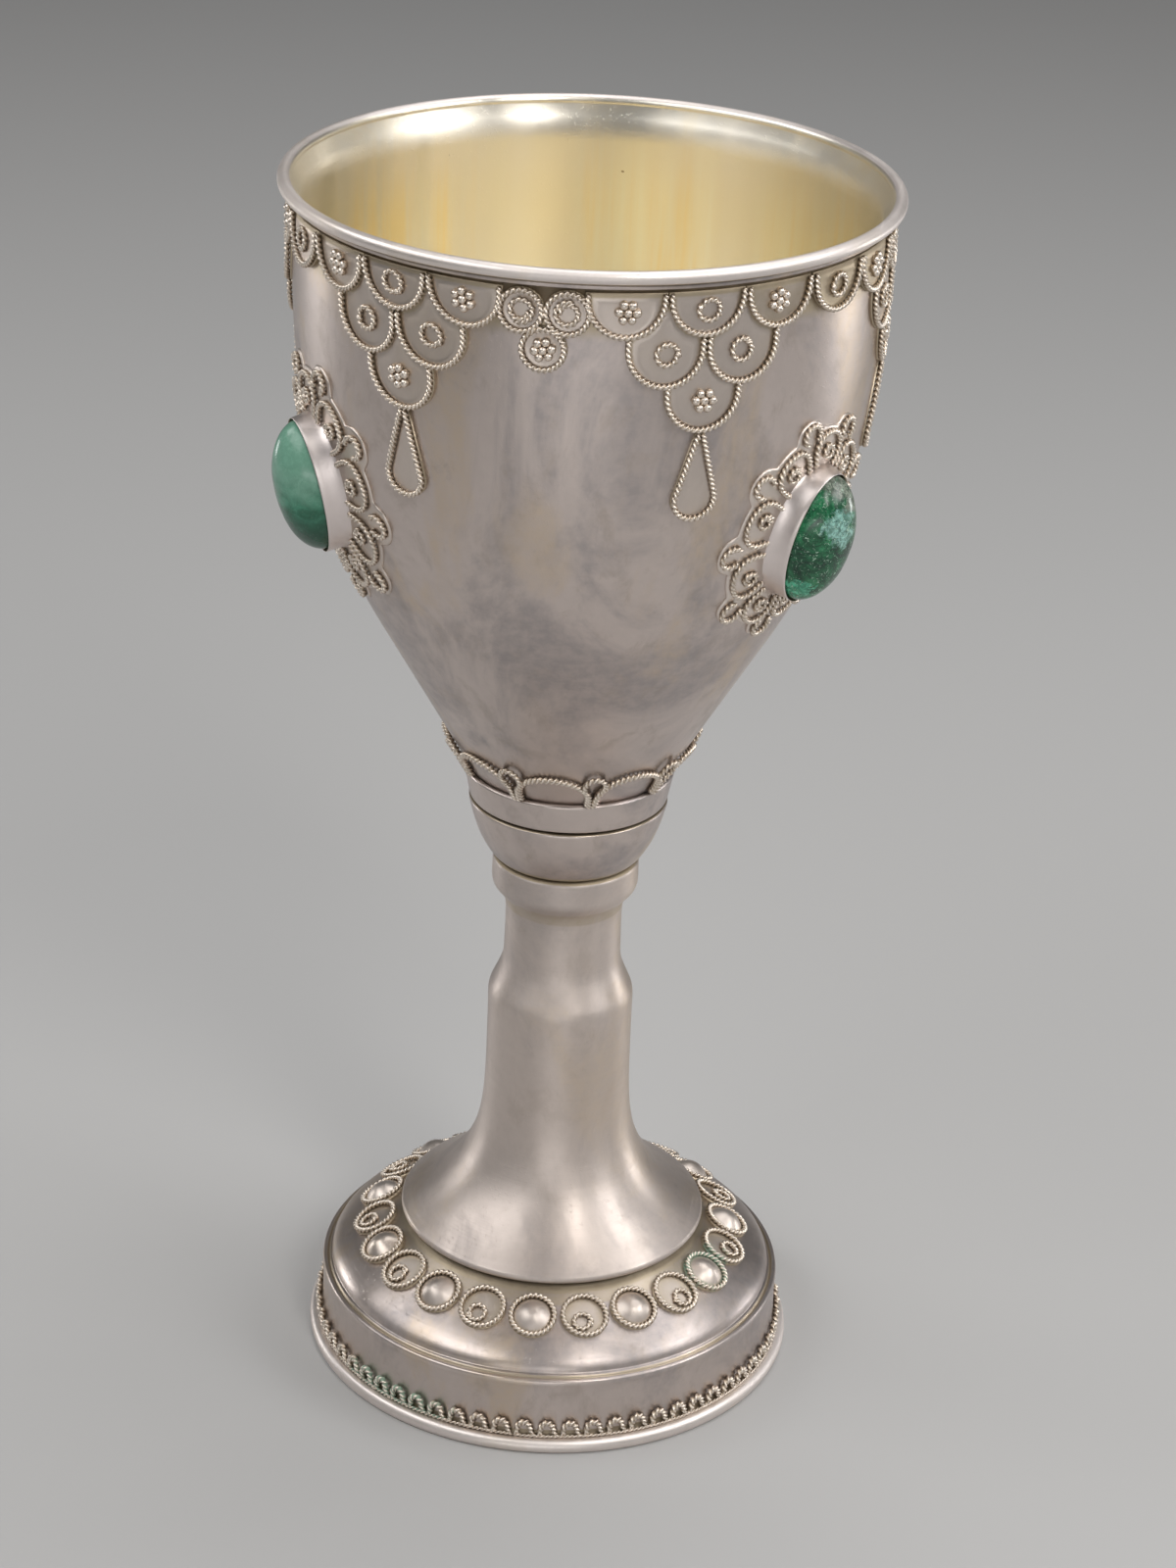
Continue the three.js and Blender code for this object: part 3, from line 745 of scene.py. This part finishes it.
def wavy_wire():
    """The twisted wire that stands in arches on the flange against the skirt."""
    shape = Shape()
    pitch = TAU * WAVE_RADIUS / WAVES
    top = arc(-0.12, 3.3, 0.95, 1.15, 205, 5, 16)
    wave = np.vstack([[-pitch / 2 + 0.1, 2.25], top, [1.05, 2.75], [pitch / 2 - 0.25, 2.35]])
    start = math.radians(WAVE_START) * WAVE_RADIUS
    flat = np.vstack([wave + (start + pitch * k, 0) for k in range(WAVES)])

    def place(points):
        x, y, off = np.asarray(points, float).T
        return around(SKIRT_FACE + off, np.degrees(x / WAVE_RADIUS), y)

    def swell(path):
        """Thin where the wire is pressed down on the flange, full above."""
        return 0.55 + 0.45 * np.clip(path[:, 1] - 2.3, 0, 1)
    rope(shape, flat, place, closed=True, radius=0.5, pitch=1.35, lift=0.45, swell=swell)
    shape.wirework("wavy_wire")


# ---- Turned pieces ----

BEAD_ROWS = 14         # rows of the rim's bead that are silver; the others are gilt like the inside


def bowl():
    shape = Shape()
    bend, straight = CONE_STEPS, CONE_STEPS + BEND_STEPS
    rows = [np.linspace(0, bend, 10), np.linspace(bend, straight, 44),
            [straight + 10, straight + STRAIGHT_STEPS]]
    keep = np.unique(np.concatenate(rows).astype(int))
    outside = WALL_POINTS[keep]
    normals = np.column_stack([WALL_TANGENTS[keep, 1], -WALL_TANGENTS[keep, 0]])
    inside = (outside - WALL * normals)[::-1]
    inside = inside[inside[:, 1] < LEDGE + 0.2]
    bead = arc(RIM_RADIUS - BEAD_RADIUS, HEIGHT - BEAD_RADIUS, BEAD_RADIUS, BEAD_RADIUS, -70, 200, 19)
    ledge = rounded([(WALL_RADIUS, LEDGE - 0.02, 0), (WALL_RADIUS + 0.55, LEDGE + 0.05, 0.12),
                     (WALL_RADIUS + 0.6, LEDGE + 0.55, 0.15), (WALL_RADIUS + 0.25, LEDGE + 0.75, 0)])[1:]
    start = [(0, BOWL_BOTTOM), (8.8, BOWL_BOTTOM + 0.3)]
    end = [(8.4, BOWL_BOTTOM + 0.4 + WALL), (0, BOWL_BOTTOM + WALL)]
    profile = np.vstack([start, outside, ledge, bead, inside, end])
    under_ledge = len(start) + len(outside)
    over_ledge = under_ledge + len(ledge)
    gilt_rows = len(profile) - over_ledge - BEAD_ROWS
    looks = [0] * over_ledge + [1] * BEAD_ROWS + [2] * gilt_rows
    wear = np.ones(len(profile))
    wear[:len(start) + 2] = 0.3
    wear[under_ledge - 2:under_ledge + 1] = 0.25
    wear[over_ledge - 1:over_ledge + 2] = 0.2
    turned(shape, profile, 256, wear, looks, ripple=0.05)
    shape.build("bowl_shell", ["bowl"], [SATIN, BEAD, GILT])


def off_cone(z):
    """The radius just outside the bowl's cone at a height."""
    return CONE_TOP[0] - (CONE_TOP[1] - z) * math.tan(CONE_SLOPE) + 0.2


def socket_ring():
    shape = Shape()
    low, high = 86.95, 91.4
    profile = rounded([(off_cone(low), low, 0), (13.8, low, 0.3), (14.62, 91.1, 0.25),
                       (14.35, high, 0.2), (off_cone(high), high, 0)])
    wear = np.where(profile[:, 0] > 13.6, 1.0, 0.15)
    turned(shape, profile, 160, wear, ripple=0.01)
    shape.build("socket_ring_band", ["socket_ring"], [SATIN])


def calyx():
    shape = Shape()
    profile = rounded([(0, 77.6, 0), (9.9, 77.62, 0.3), (10.9, 78.6, 0.8), (12.3, 81.0, 1.2),
                       (13.3, 83.9, 1.2), (13.9, 86.3, 0.5), (13.75, 86.6, 0.15), (12.95, 86.6, 0.1),
                       (11.6, 81.8, 0), (9.3, 78.6, 0), (0, 78.6, 0)])
    wear = np.clip((profile[:, 1] - 77.2) / 1.5, 0.4, 1.0) * np.where(profile[:, 1] > 86.5, 0.4, 1.0)
    turned(shape, profile, 160, wear, ripple=0.01)
    shape.build("calyx_cup", ["calyx"], [SATIN])


def trumpet(z):
    """The radius of the stem's trumpet at a height."""
    s = z - FLARE_BOTTOM
    narrowing = FLARE_DECAY[0] * s + FLARE_DECAY[1] * s * s
    return TUBE_RADIUS + (FLARE_RADIUS - TUBE_RADIUS) * np.exp(-narrowing)


def stem():
    shape = Shape()
    heights = np.concatenate([np.linspace(20.95, 30, 22), np.linspace(30.6, 45, 14)[1:], [50.0]])
    flare = np.column_stack([trumpet(heights), heights])
    lip = rounded([(20.9, 19.6, 0), (21.5, 19.6, 0.35), (22.1, 20.0, 0.5), (21.95, 20.7, 0.4),
                   (21.55, 20.95, 0)])
    above = rounded([(TUBE_RADIUS, 53.0, 0), (10.32, 56.2, 0.9), (9.2, 58.7, 0.9), (8.3, 61.0, 1.4),
                     (8.2, 66.0, 0), (8.2, 69.6, 1.2), (8.6, 71.2, 0.5), (10.05, 72.85, 0.45),
                     (10.3, 73.6, 0.5), (10.25, 76.9, 0.3), (9.9, 77.3, 0.2), (7.2, 77.3, 0.1),
                     (7.2, 58.0, 0)])
    hollow = np.array([(trumpet(z) - 1.1, z) for z in (45, 36, 31, 27, 24, 22.2, 21.0, 20.2)])
    profile = np.vstack([lip, flare[1:], above, hollow])
    r, z = profile.T
    wear = np.ones(len(profile))
    wear[(z > 69.8) & (z < 72.5) & (r < 9.9)] = 0.7     # under the collar
    wear[z > 77.0] = 0.45                               # against the calyx
    wear[z < 19.9] = 0.1                                # against the foot
    turned(shape, profile, 160, wear, ripple=0.02)
    shape.build("stem_tube", ["stem"], [SOFT])


def foot():
    shape = Shape()
    lower = rounded([(32.45, 0, 0.15), (35.0, 0, 0.4), (35.4, 0.95, 0.8), (34.9, 1.9, 0.6),
                     (34.05, 1.98, 0), (33.75, 2.0, 0.15), (33.45, 2.6, 0.4), (33.35, 9.9, 0),
                     (33.5, 10.45, 0.35), (33.35, 11.1, 0.3), (32.8, 11.15, 0.15),
                     (GROOVE_RADIUS, 10.95, 0.12), (32.45, 11.3, 0.15), (32.2, 11.45, 0.1)], 6)
    inside = [(18.3, 19.4), (25.4, 15.3), (29.6, 12.4), (31.9, 10.2), (32.45, 9.2), (32.45, 3)]
    profile = np.vstack([lower, DOME[1::2], [(18.6, 20.3)], inside])
    r, z = profile.T
    wear = np.ones(len(profile))
    wear[(np.abs(r - GROOVE_RADIUS) < 0.25) & (z > 10.8)] = 0.6
    wear[(r < FLARE_RADIUS + 2.1) & (z > 15)] = 0.66    # beside the trumpet
    wear[(r < FLARE_RADIUS) & (z > 15)] = 0.3           # under it
    wear[(r < 33.9) & (z > 1.9) & (z < 2.9)] = 0.3      # behind the wavy wire
    looks = np.where((r > 33.6) & (z < 2.1), 1, 0)
    turned(shape, profile, 256, wear, looks, ripple=0.03)
    shape.build("foot_dome", ["foot"], [SATIN, BEAD])


# ---- Materials ----

class Nodes:
    """A small helper that writes a material's node tree from the shader back."""

    def __init__(self, name):
        self.material = bpy.data.materials.new(name)
        self.material.use_nodes = True
        self.tree = self.material.node_tree
        self.shader = self.tree.nodes["Principled BSDF"]
        self.place = self.new("TexCoord").outputs["Object"]

    def new(self, kind, inputs=None, **settings):
        """Adds a node; inputs holds a value or another node's socket for each of its inputs."""
        node = self.tree.nodes.new("ShaderNode" + kind)
        for key, value in settings.items():
            setattr(node, key, value)
        for key, value in (inputs or {}).items():
            self.feed(node.inputs[key], value)
        return node

    def feed(self, socket, value):
        if isinstance(value, bpy.types.NodeSocket):
            self.tree.links.new(value, socket)
        else:
            socket.default_value = value

    def set(self, name, value):
        self.feed(self.shader.inputs[name], value)

    def scaled(self, scale, rotation=(0, 0, 0)):
        """Coordinates in millimetres, times scale along each axis."""
        inputs = {"Vector": self.place, "Rotation": rotation, "Scale": [1000 * s for s in scale]}
        return self.new("Mapping", inputs).outputs["Vector"]

    def noise(self, vector, scale=1.0, detail=3.0, roughness=0.5, distortion=0.0):
        inputs = {"Vector": vector, "Scale": scale, "Detail": detail, "Roughness": roughness,
                  "Distortion": distortion}
        return self.new("TexNoise", inputs).outputs["Fac"]

    def ramp(self, value, stops):
        node = self.new("ValToRGB", {"Fac": value})
        elements = node.color_ramp.elements
        while len(elements) < len(stops):
            elements.new(0.5)
        for element, (position, colour) in zip(elements, stops):
            element.position = position
            element.color = (*colour, 1)
        return node.outputs["Color"]

    def fade(self, value, low, high, to_low=0.0, to_high=1.0):
        """Maps low..high to to_low..to_high, smoothly and clamped."""
        inputs = {"Value": value, "From Min": low, "From Max": high, "To Min": to_low,
                  "To Max": to_high}
        return self.new("MapRange", inputs, interpolation_type="SMOOTHSTEP").outputs["Result"]

    def math(self, operation, a, b=0.0):
        return self.new("Math", {0: a, 1: b}, operation=operation).outputs["Value"]

    def mix(self, factor, a, b):
        a, b = ((*c, 1) if isinstance(c, tuple) else c for c in (a, b))
        return self.new("Mix", {0: factor, 6: a, 7: b}, data_type="RGBA").outputs[2]

    def attribute(self, name, output="Fac"):
        return self.new("Attribute", attribute_name=name).outputs[output]

    def split(self, vector):
        return self.new("SeparateXYZ", {0: vector}).outputs

    def distance(self, a, b):
        return self.new("VectorMath", {0: a, 1: b}, operation="DISTANCE").outputs["Value"]

    def near(self, point, reach):
        """1 at a point given in millimetres, fading to 0 at reach millimetres from it."""
        away = self.distance(self.place, [MM * c for c in point])
        return self.fade(away, 0.0, MM * reach, 1.0, 0.0)

    def brush(self, share):
        """Draws the highlight out upright, across the rings a lathe leaves."""
        around_axis = self.new("Tangent", direction_type="RADIAL", axis="Z")
        self.set("Tangent", around_axis.outputs[0])
        self.set("Anisotropic", share)
        self.set("Anisotropic Rotation", 0.25)

    def bump(self, height, strength, distance, normal=None):
        inputs = {"Strength": strength, "Distance": distance, "Height": height}
        if normal is not None:
            inputs["Normal"] = normal
        return self.new("Bump", inputs).outputs["Normal"]


def scratches(n, turn):
    """Thin straight scratches: noise drawn out along one direction and cut off high."""
    lines = n.noise(n.scaled((2.2, 0.035, 2.2), (turn, turn * 1.7, turn * 0.6)), 1.0, 2.0)
    return n.fade(lines, 0.66, 0.71)


def verdigris(n, tone, grime):
    """Green corrosion in the gaps of the wires, at the left front and by the right-hand bosses."""
    spots = n.math("MAXIMUM", n.near(GREEN_AT_FLANGE, 19), n.near(GREEN_AT_BOSSES, 9))
    speckle = n.noise(n.scaled((0.9,) * 3), 1.0, 4.0, 0.7)
    cover = n.fade(n.math("ADD", n.math("MULTIPLY", spots, 0.55), speckle), 0.7, 0.92, 0.0, 0.75)
    cover = n.math("MULTIPLY", cover, n.fade(grime, 0.1, 0.45))
    return n.mix(cover, tone, (0.21, 0.37, 0.28)), cover


def shaded(colour, share):
    return tuple(c * s for c, s in zip(colour, share))


def silver(name, clean, stain, tarnish, roughness, clouds_and_reflections=0.0, spun=0.0, scratched=0.0, green=False):
    """Silver that is clean where worn, tan and brown where not; the clouds setting adds grey and warm
    patches that are partly tarnish clouds and partly painted reflections, drawn out a little upright;
    spun the fine rings of a lathe and the upright sheen they give."""
    n = Nodes(name)
    worn = n.attribute("wear")
    fine = n.noise(n.scaled((0.6,) * 3), 1.0, 4.0, 0.6)
    grime = n.math("SUBTRACT", n.math("ADD", 1.12, n.math("MULTIPLY", fine, -0.24)), worn)
    tone, gloss = clean, roughness
    if clouds_and_reflections:
        # Grey and warm patches: partly tarnish clouds, partly painted reflections, drawn out a little
        # upright.
        cool = n.noise(n.scaled((0.045, 0.045, 0.03)), 1.0, 6.0, 0.62, 0.6)
        warm = n.noise(n.scaled((0.04, 0.04, 0.024), rotation=(0.7, 0.4, 1.9)), 1.0, 5.0, 0.6, 0.9)
        mottle = n.noise(n.scaled((0.2, 0.2, 0.13), rotation=(1.1, 0.2, 0.3)), 1.0, 7.0, 0.68, 0.4)
        tone = n.mix(n.fade(cool, 0.46, 0.6, 0.0, clouds_and_reflections), tone, shaded(clean, (0.60, 0.62, 0.66)))
        tone = n.mix(n.fade(warm, 0.5, 0.62, 0.0, clouds_and_reflections), tone, shaded(clean, (0.98, 0.92, 0.78)))
        tone = n.mix(n.fade(mottle, 0.5, 0.68, 0.0, 0.7 * clouds_and_reflections), tone, shaded(clean, (0.68, 0.66, 0.62)))
        gloss = n.fade(cool, 0.4, 0.62, roughness - 0.04, roughness + 0.07)
    tone = n.mix(n.fade(fine, 0.3, 0.7, 0.0, 0.5), tone, shaded(clean, (0.92, 0.92, 0.92)))
    tone = n.mix(n.fade(grime, 0.1, 0.5), tone, stain)
    tone = n.mix(n.fade(grime, 0.5, 1.0), tone, tarnish)
    gloss = n.math("ADD", gloss, n.fade(grime, 0.2, 1.0, 0.0, 0.22))
    metal = 1.0
    if green:
        tone, cover = verdigris(n, tone, grime)
        metal = n.math("SUBTRACT", 1.0, cover)
        gloss = n.math("ADD", gloss, n.math("MULTIPLY", cover, 0.4))
    n.set("Base Color", tone)
    n.set("Metallic", metal)
    normal = None
    if spun:
        x, y, z = n.split(n.scaled((1, 1, 1)))
        reach = n.math("SQRT", n.math("ADD", n.math("MULTIPLY", x, x), n.math("MULTIPLY", y, y)))
        lines = {0: n.math("MULTIPLY", reach, 4.0), 2: n.math("MULTIPLY", z, 4.0)}
        rings = n.noise(n.new("CombineXYZ", lines).outputs[0], 1.0, 3.0, 0.7)
        normal = n.bump(rings, spun, 0.00002)
        gloss = n.math("ADD", gloss, n.fade(rings, 0.3, 0.7, -0.03, 0.03))
        n.brush(0.55)
    if scratched:
        marks = n.math("ADD", scratches(n, 0.5), n.math("ADD", scratches(n, -0.7), scratches(n, 2.1)))
        normal = n.bump(marks, scratched, 0.00003, normal)
        gloss = n.math("ADD", gloss, n.math("MULTIPLY", marks, 0.06))
    n.set("Roughness", gloss)
    if normal is not None:
        n.set("Normal", normal)
    return n.material


def gilt(name):
    """The gold-washed inside: pale gold with upright streaks and bands of paler and deeper gold that
    are painted reflections of the lamps, and a few dark specks.
    """
    n = Nodes(name)
    # Painted reflections: upright streaks and broad upright bands of paler and deeper gold.
    reflection_streak = n.noise(n.scaled((0.2, 0.2, 0.008)), 1.0, 4.0, 0.6)
    wide = n.noise(n.scaled((0.07, 0.07, 0.004)), 1.0, 2.0)
    specks = n.noise(n.scaled((0.35, 0.35, 0.5)), 1.0, 3.0, 0.75)
    tone = n.ramp(reflection_streak, ((0.36, (0.99, 0.95, 0.78)), (0.5, (0.98, 0.89, 0.66)),
                           (0.62, (0.99, 0.82, 0.45))))
    tone = n.mix(n.fade(wide, 0.42, 0.6), tone, (0.92, 0.85, 0.68))
    z = n.split(n.scaled((1, 1, 1)))[2]
    tone = n.mix(n.fade(z, 158, 171, 0.0, 0.75), tone, (0.93, 0.88, 0.8))
    tone = n.mix(n.fade(specks, 0.74, 0.78, 0.0, 0.8), tone, (0.25, 0.17, 0.08))
    n.set("Base Color", tone)
    n.set("Metallic", 1.0)
    n.set("Roughness", n.fade(reflection_streak, 0.3, 0.7, 0.30, 0.40))
    n.brush(0.5)
    marks = n.math("ADD", scratches(n, 0.4), scratches(n, -1.1))
    n.set("Normal", n.bump(marks, 0.3, 0.00003))
    return n.material


def green_stone(name, dark, middle, pale, patches, offset, flecked=1.0):
    """Polished green stone with veins, cracks and pale flecks. Each patch is a place on the stone
    in millimetres, its reach, its colour and how much it hides; its edge is ragged."""
    n = Nodes(name)
    seat = n.attribute("seat", "Vector")
    spot = n.new("Mapping", {"Vector": seat, "Location": offset}).outputs["Vector"]
    bands = n.noise(spot, 0.24, 6.0, 0.65, 1.6)
    grain = n.noise(spot, 1.1, 5.0, 0.65, 0.6)
    flecks = n.noise(spot, 2.2, 3.0, 0.65, 1.2)
    ragged = n.noise(spot, 0.5, 7.0, 0.62, 0.5)
    tone = n.ramp(bands, ((0.36, dark), (0.5, middle), (0.64, pale)))
    cracks = n.math("ABSOLUTE", n.math("SUBTRACT", n.noise(spot, 0.42, 4.0, 0.6, 1.1), 0.5))
    tone = n.mix(n.fade(grain, 0.5, 0.72, 0.0, 0.7 * flecked), tone, dark)
    for point, reach, colour, share in patches:
        edge = n.math("ADD", n.distance(seat, point), n.math("MULTIPLY", ragged, 5.0))
        soft = 0.3 + 2.2 * (1 - flecked)
        body = n.fade(edge, reach + 2.4 - soft, reach + 2.4 + soft, share, 0.0)
        body = n.math("MULTIPLY", body, n.fade(grain, 0.3, 0.55, 1 - 0.45 * flecked, 1.0))
        bright = tuple(1.9 * c + 0.02 for c in colour)
        tone = n.mix(body, tone, n.mix(n.fade(grain, 0.46, 0.62, 0.0, flecked), colour, bright))
    tone = n.mix(n.fade(cracks, 0.0, 0.022, 0.75 * flecked, 0.0), tone, dark)
    tone = n.mix(n.fade(flecks, 0.6, 0.66, 0.0, 0.85 * flecked), tone, (0.40, 0.60, 0.46))
    n.set("Base Color", tone)
    n.set("Roughness", n.fade(ragged, 0.4, 0.6, 0.16, 0.26))
    n.set("Normal", n.bump(grain, 0.25, 0.00006))
    return n.material


TAN, BROWN = (0.50, 0.42, 0.31), (0.22, 0.17, 0.12)
GREEN_AT_FLANGE = (-18.0, -29.0, 3.5)
GREEN_AT_BOSSES = (23.0, -8.0, 17.0)
SATIN = silver("satin_silver", (0.64, 0.56, 0.52), TAN, BROWN, 0.37, clouds_and_reflections=0.85, spun=0.35,
               scratched=0.25)
SOFT = silver("soft_satin_silver", (0.66, 0.58, 0.53), TAN, BROWN, 0.48, clouds_and_reflections=0.5, spun=0.35,
              scratched=0.2)
BEAD = silver("bead_silver", (0.84, 0.77, 0.73), TAN, BROWN, 0.48, clouds_and_reflections=0.25, scratched=0.2)
PLATES = silver("plate_silver", (0.68, 0.60, 0.54), TAN, BROWN, 0.4, clouds_and_reflections=0.3, scratched=0.2,
                green=True)
BRIGHT_PLATES = silver("bright_plate_silver", (0.80, 0.72, 0.66), TAN, BROWN, 0.45, clouds_and_reflections=0.2,
                       scratched=0.2)
SETTING = silver("setting_silver", (0.84, 0.76, 0.73), TAN, BROWN, 0.4, clouds_and_reflections=0.15, scratched=0.15)
WIREWORK = silver("wirework_silver", (0.82, 0.73, 0.64), (0.60, 0.51, 0.41), (0.28, 0.22, 0.16), 0.34,
                  green=True)
GILT = gilt("gold_wash")
STONES = [
    green_stone("green_stone_1", (0.004, 0.032, 0.018), (0.011, 0.1, 0.042), (0.03, 0.21, 0.09),
                [((-0.8, 3.4, 4.5), 3.0, (0.15, 0.29, 0.25), 1.0),
                 # The grey patch at this stone's upper end is a painted reflection, not the stone's
                 # colour.
                 ((1.4, 7.8, 2.5), 3.8, (0.13, 0.15, 0.12), 1.0),
                 ((-2.4, -5.6, 3), 2.2, (0.05, 0.3, 0.18), 0.95)], (3, 1, 0)),
    green_stone("green_stone_2", (0.006, 0.05, 0.03), (0.02, 0.15, 0.08), (0.06, 0.26, 0.15),
                [((1, -3, 4), 3, (0.12, 0.3, 0.22), 0.7)], (21, 9, 4), 0.6),
    green_stone("green_stone_3", (0.015, 0.1, 0.055), (0.03, 0.17, 0.1), (0.06, 0.25, 0.16),
                [((3, 6, 3), 6.0, (0.17, 0.35, 0.26), 0.9),
                 ((-3, -1, 4), 1.6, (0.09, 0.15, 0.11), 0.8),
                 ((0.5, -7.5, 2), 6.8, (0.006, 0.06, 0.032), 0.95)], (40, 30, 7), 0.1),
]

# ---- Assembly ----

bowl()
socket_ring()
calyx()
stem()
foot()
wavy_wire()
arch_border()
for sector, seat in enumerate(SEATS):
    front = 120 * sector
    trefoil(sector + 1, front)
    for number in (2 * sector + 1, 2 * sector + 2):
        turn, lean = PENDANTS[number - 1]
        pendant(number, front + turn, lean)
    single_scallop(sector + 1, front + 60)
    rosette(sector + 1, seat)
    bezel(sector + 1, seat)
    stone(sector + 1, seat)
for item in range(BOSSES):
    azimuth = BOSS_START + item * 360 / BOSSES
    (eyelet if item % 2 else boss)(item // 2 + 1, azimuth)

# ---- Floor, light and camera ----

CAMERA_AZIMUTH = 7.4
CAMERA = {"elevation": 25.522, "roll": 2.456, "distance": 522.4, "across": 2.684, "height": 87.99,
          "lens": 86.2}
AIM = 0.09             # height of the point that every lamp looks at, in metres


def floor():
    mesh = bpy.data.meshes.new("floor")
    corners = [(-2.5, -2.5, 0), (2.5, -2.5, 0), (2.5, 2.5, 0), (-2.5, 2.5, 0)]
    mesh.from_pydata(corners, [], [(0, 1, 2, 3)])
    n = Nodes("floor")
    n.set("Base Color", (0.44, 0.435, 0.43, 1))
    n.set("Roughness", 0.7)
    mesh.materials.append(n.material)
    ground = in_scene("floor", mesh)


def softbox(name, azimuth, elevation, distance, size, power, colour=(1, 1, 1)):
    """A soft rectangular light at a place round the cup that looks at its middle."""
    light = bpy.data.lights.new(name, "AREA")
    light.shape = "RECTANGLE"
    light.size, light.size_y = size
    light.energy = power
    light.color = colour
    lamp = in_scene(name, light)
    tilt = math.radians(elevation)
    place = Vector(around(distance * math.cos(tilt), azimuth, distance * math.sin(tilt) + AIM))
    turn = (Vector((0, 0, AIM)) - place).to_track_quat("-Z", "Y")
    lamp.matrix_world = Matrix.Translation(place) @ turn.to_matrix().to_4x4()
    lamp.visible_camera = False


def camera():
    data = bpy.data.cameras.new("camera")
    data.lens = CAMERA["lens"]
    data.sensor_width = 36
    data.clip_start = 0.01
    aim = Vector((CAMERA["across"], 0, CAMERA["height"])) * MM
    tilt, roll = math.radians(90 - CAMERA["elevation"]), math.radians(CAMERA["roll"])
    eye = in_scene("camera", data)
    eye.matrix_world = (Matrix.Rotation(math.radians(CAMERA_AZIMUTH), 4, "Z") @ Matrix.Translation(aim)
                        @ Matrix.Rotation(tilt, 4, "X") @ Matrix.Rotation(roll, 4, "Z")
                        @ Matrix.Translation((0, 0, CAMERA["distance"] * MM)))
    bpy.context.scene.camera = eye


def world():
    sky = bpy.data.worlds.new("studio")
    sky.use_nodes = True
    background = sky.node_tree.nodes["Background"]
    background.inputs["Color"].default_value = (0.8, 0.8, 0.8, 1)
    background.inputs["Strength"].default_value = 0.16
    bpy.context.scene.world = sky
    bpy.context.scene.view_settings.view_transform = "Standard"


floor()
softbox("left", -46, 46, 0.8, (0.6, 0.4), 1.9)
softbox("far_left", -112, 0, 0.7, (0.16, 0.15), 0.42)
softbox("rear_left", -92, 42, 0.8, (0.3, 0.3), 1.0)
softbox("strip", 36, 44, 0.8, (0.12, 0.4), 1.7, colour=(1, 0.98, 0.95))
softbox("right", 80, 32, 0.8, (0.36, 0.3), 1.9)
softbox("far_right", 120, 0, 0.7, (0.12, 0.15), 0.6)
softbox("rear_right", 108, 42, 0.8, (0.3, 0.3), 0.7)
softbox("front", 4, 1, 0.9, (0.6, 0.15), 0.9)
softbox("top", 160, 74, 0.9, (0.6, 0.6), 3.4)
camera()
world()
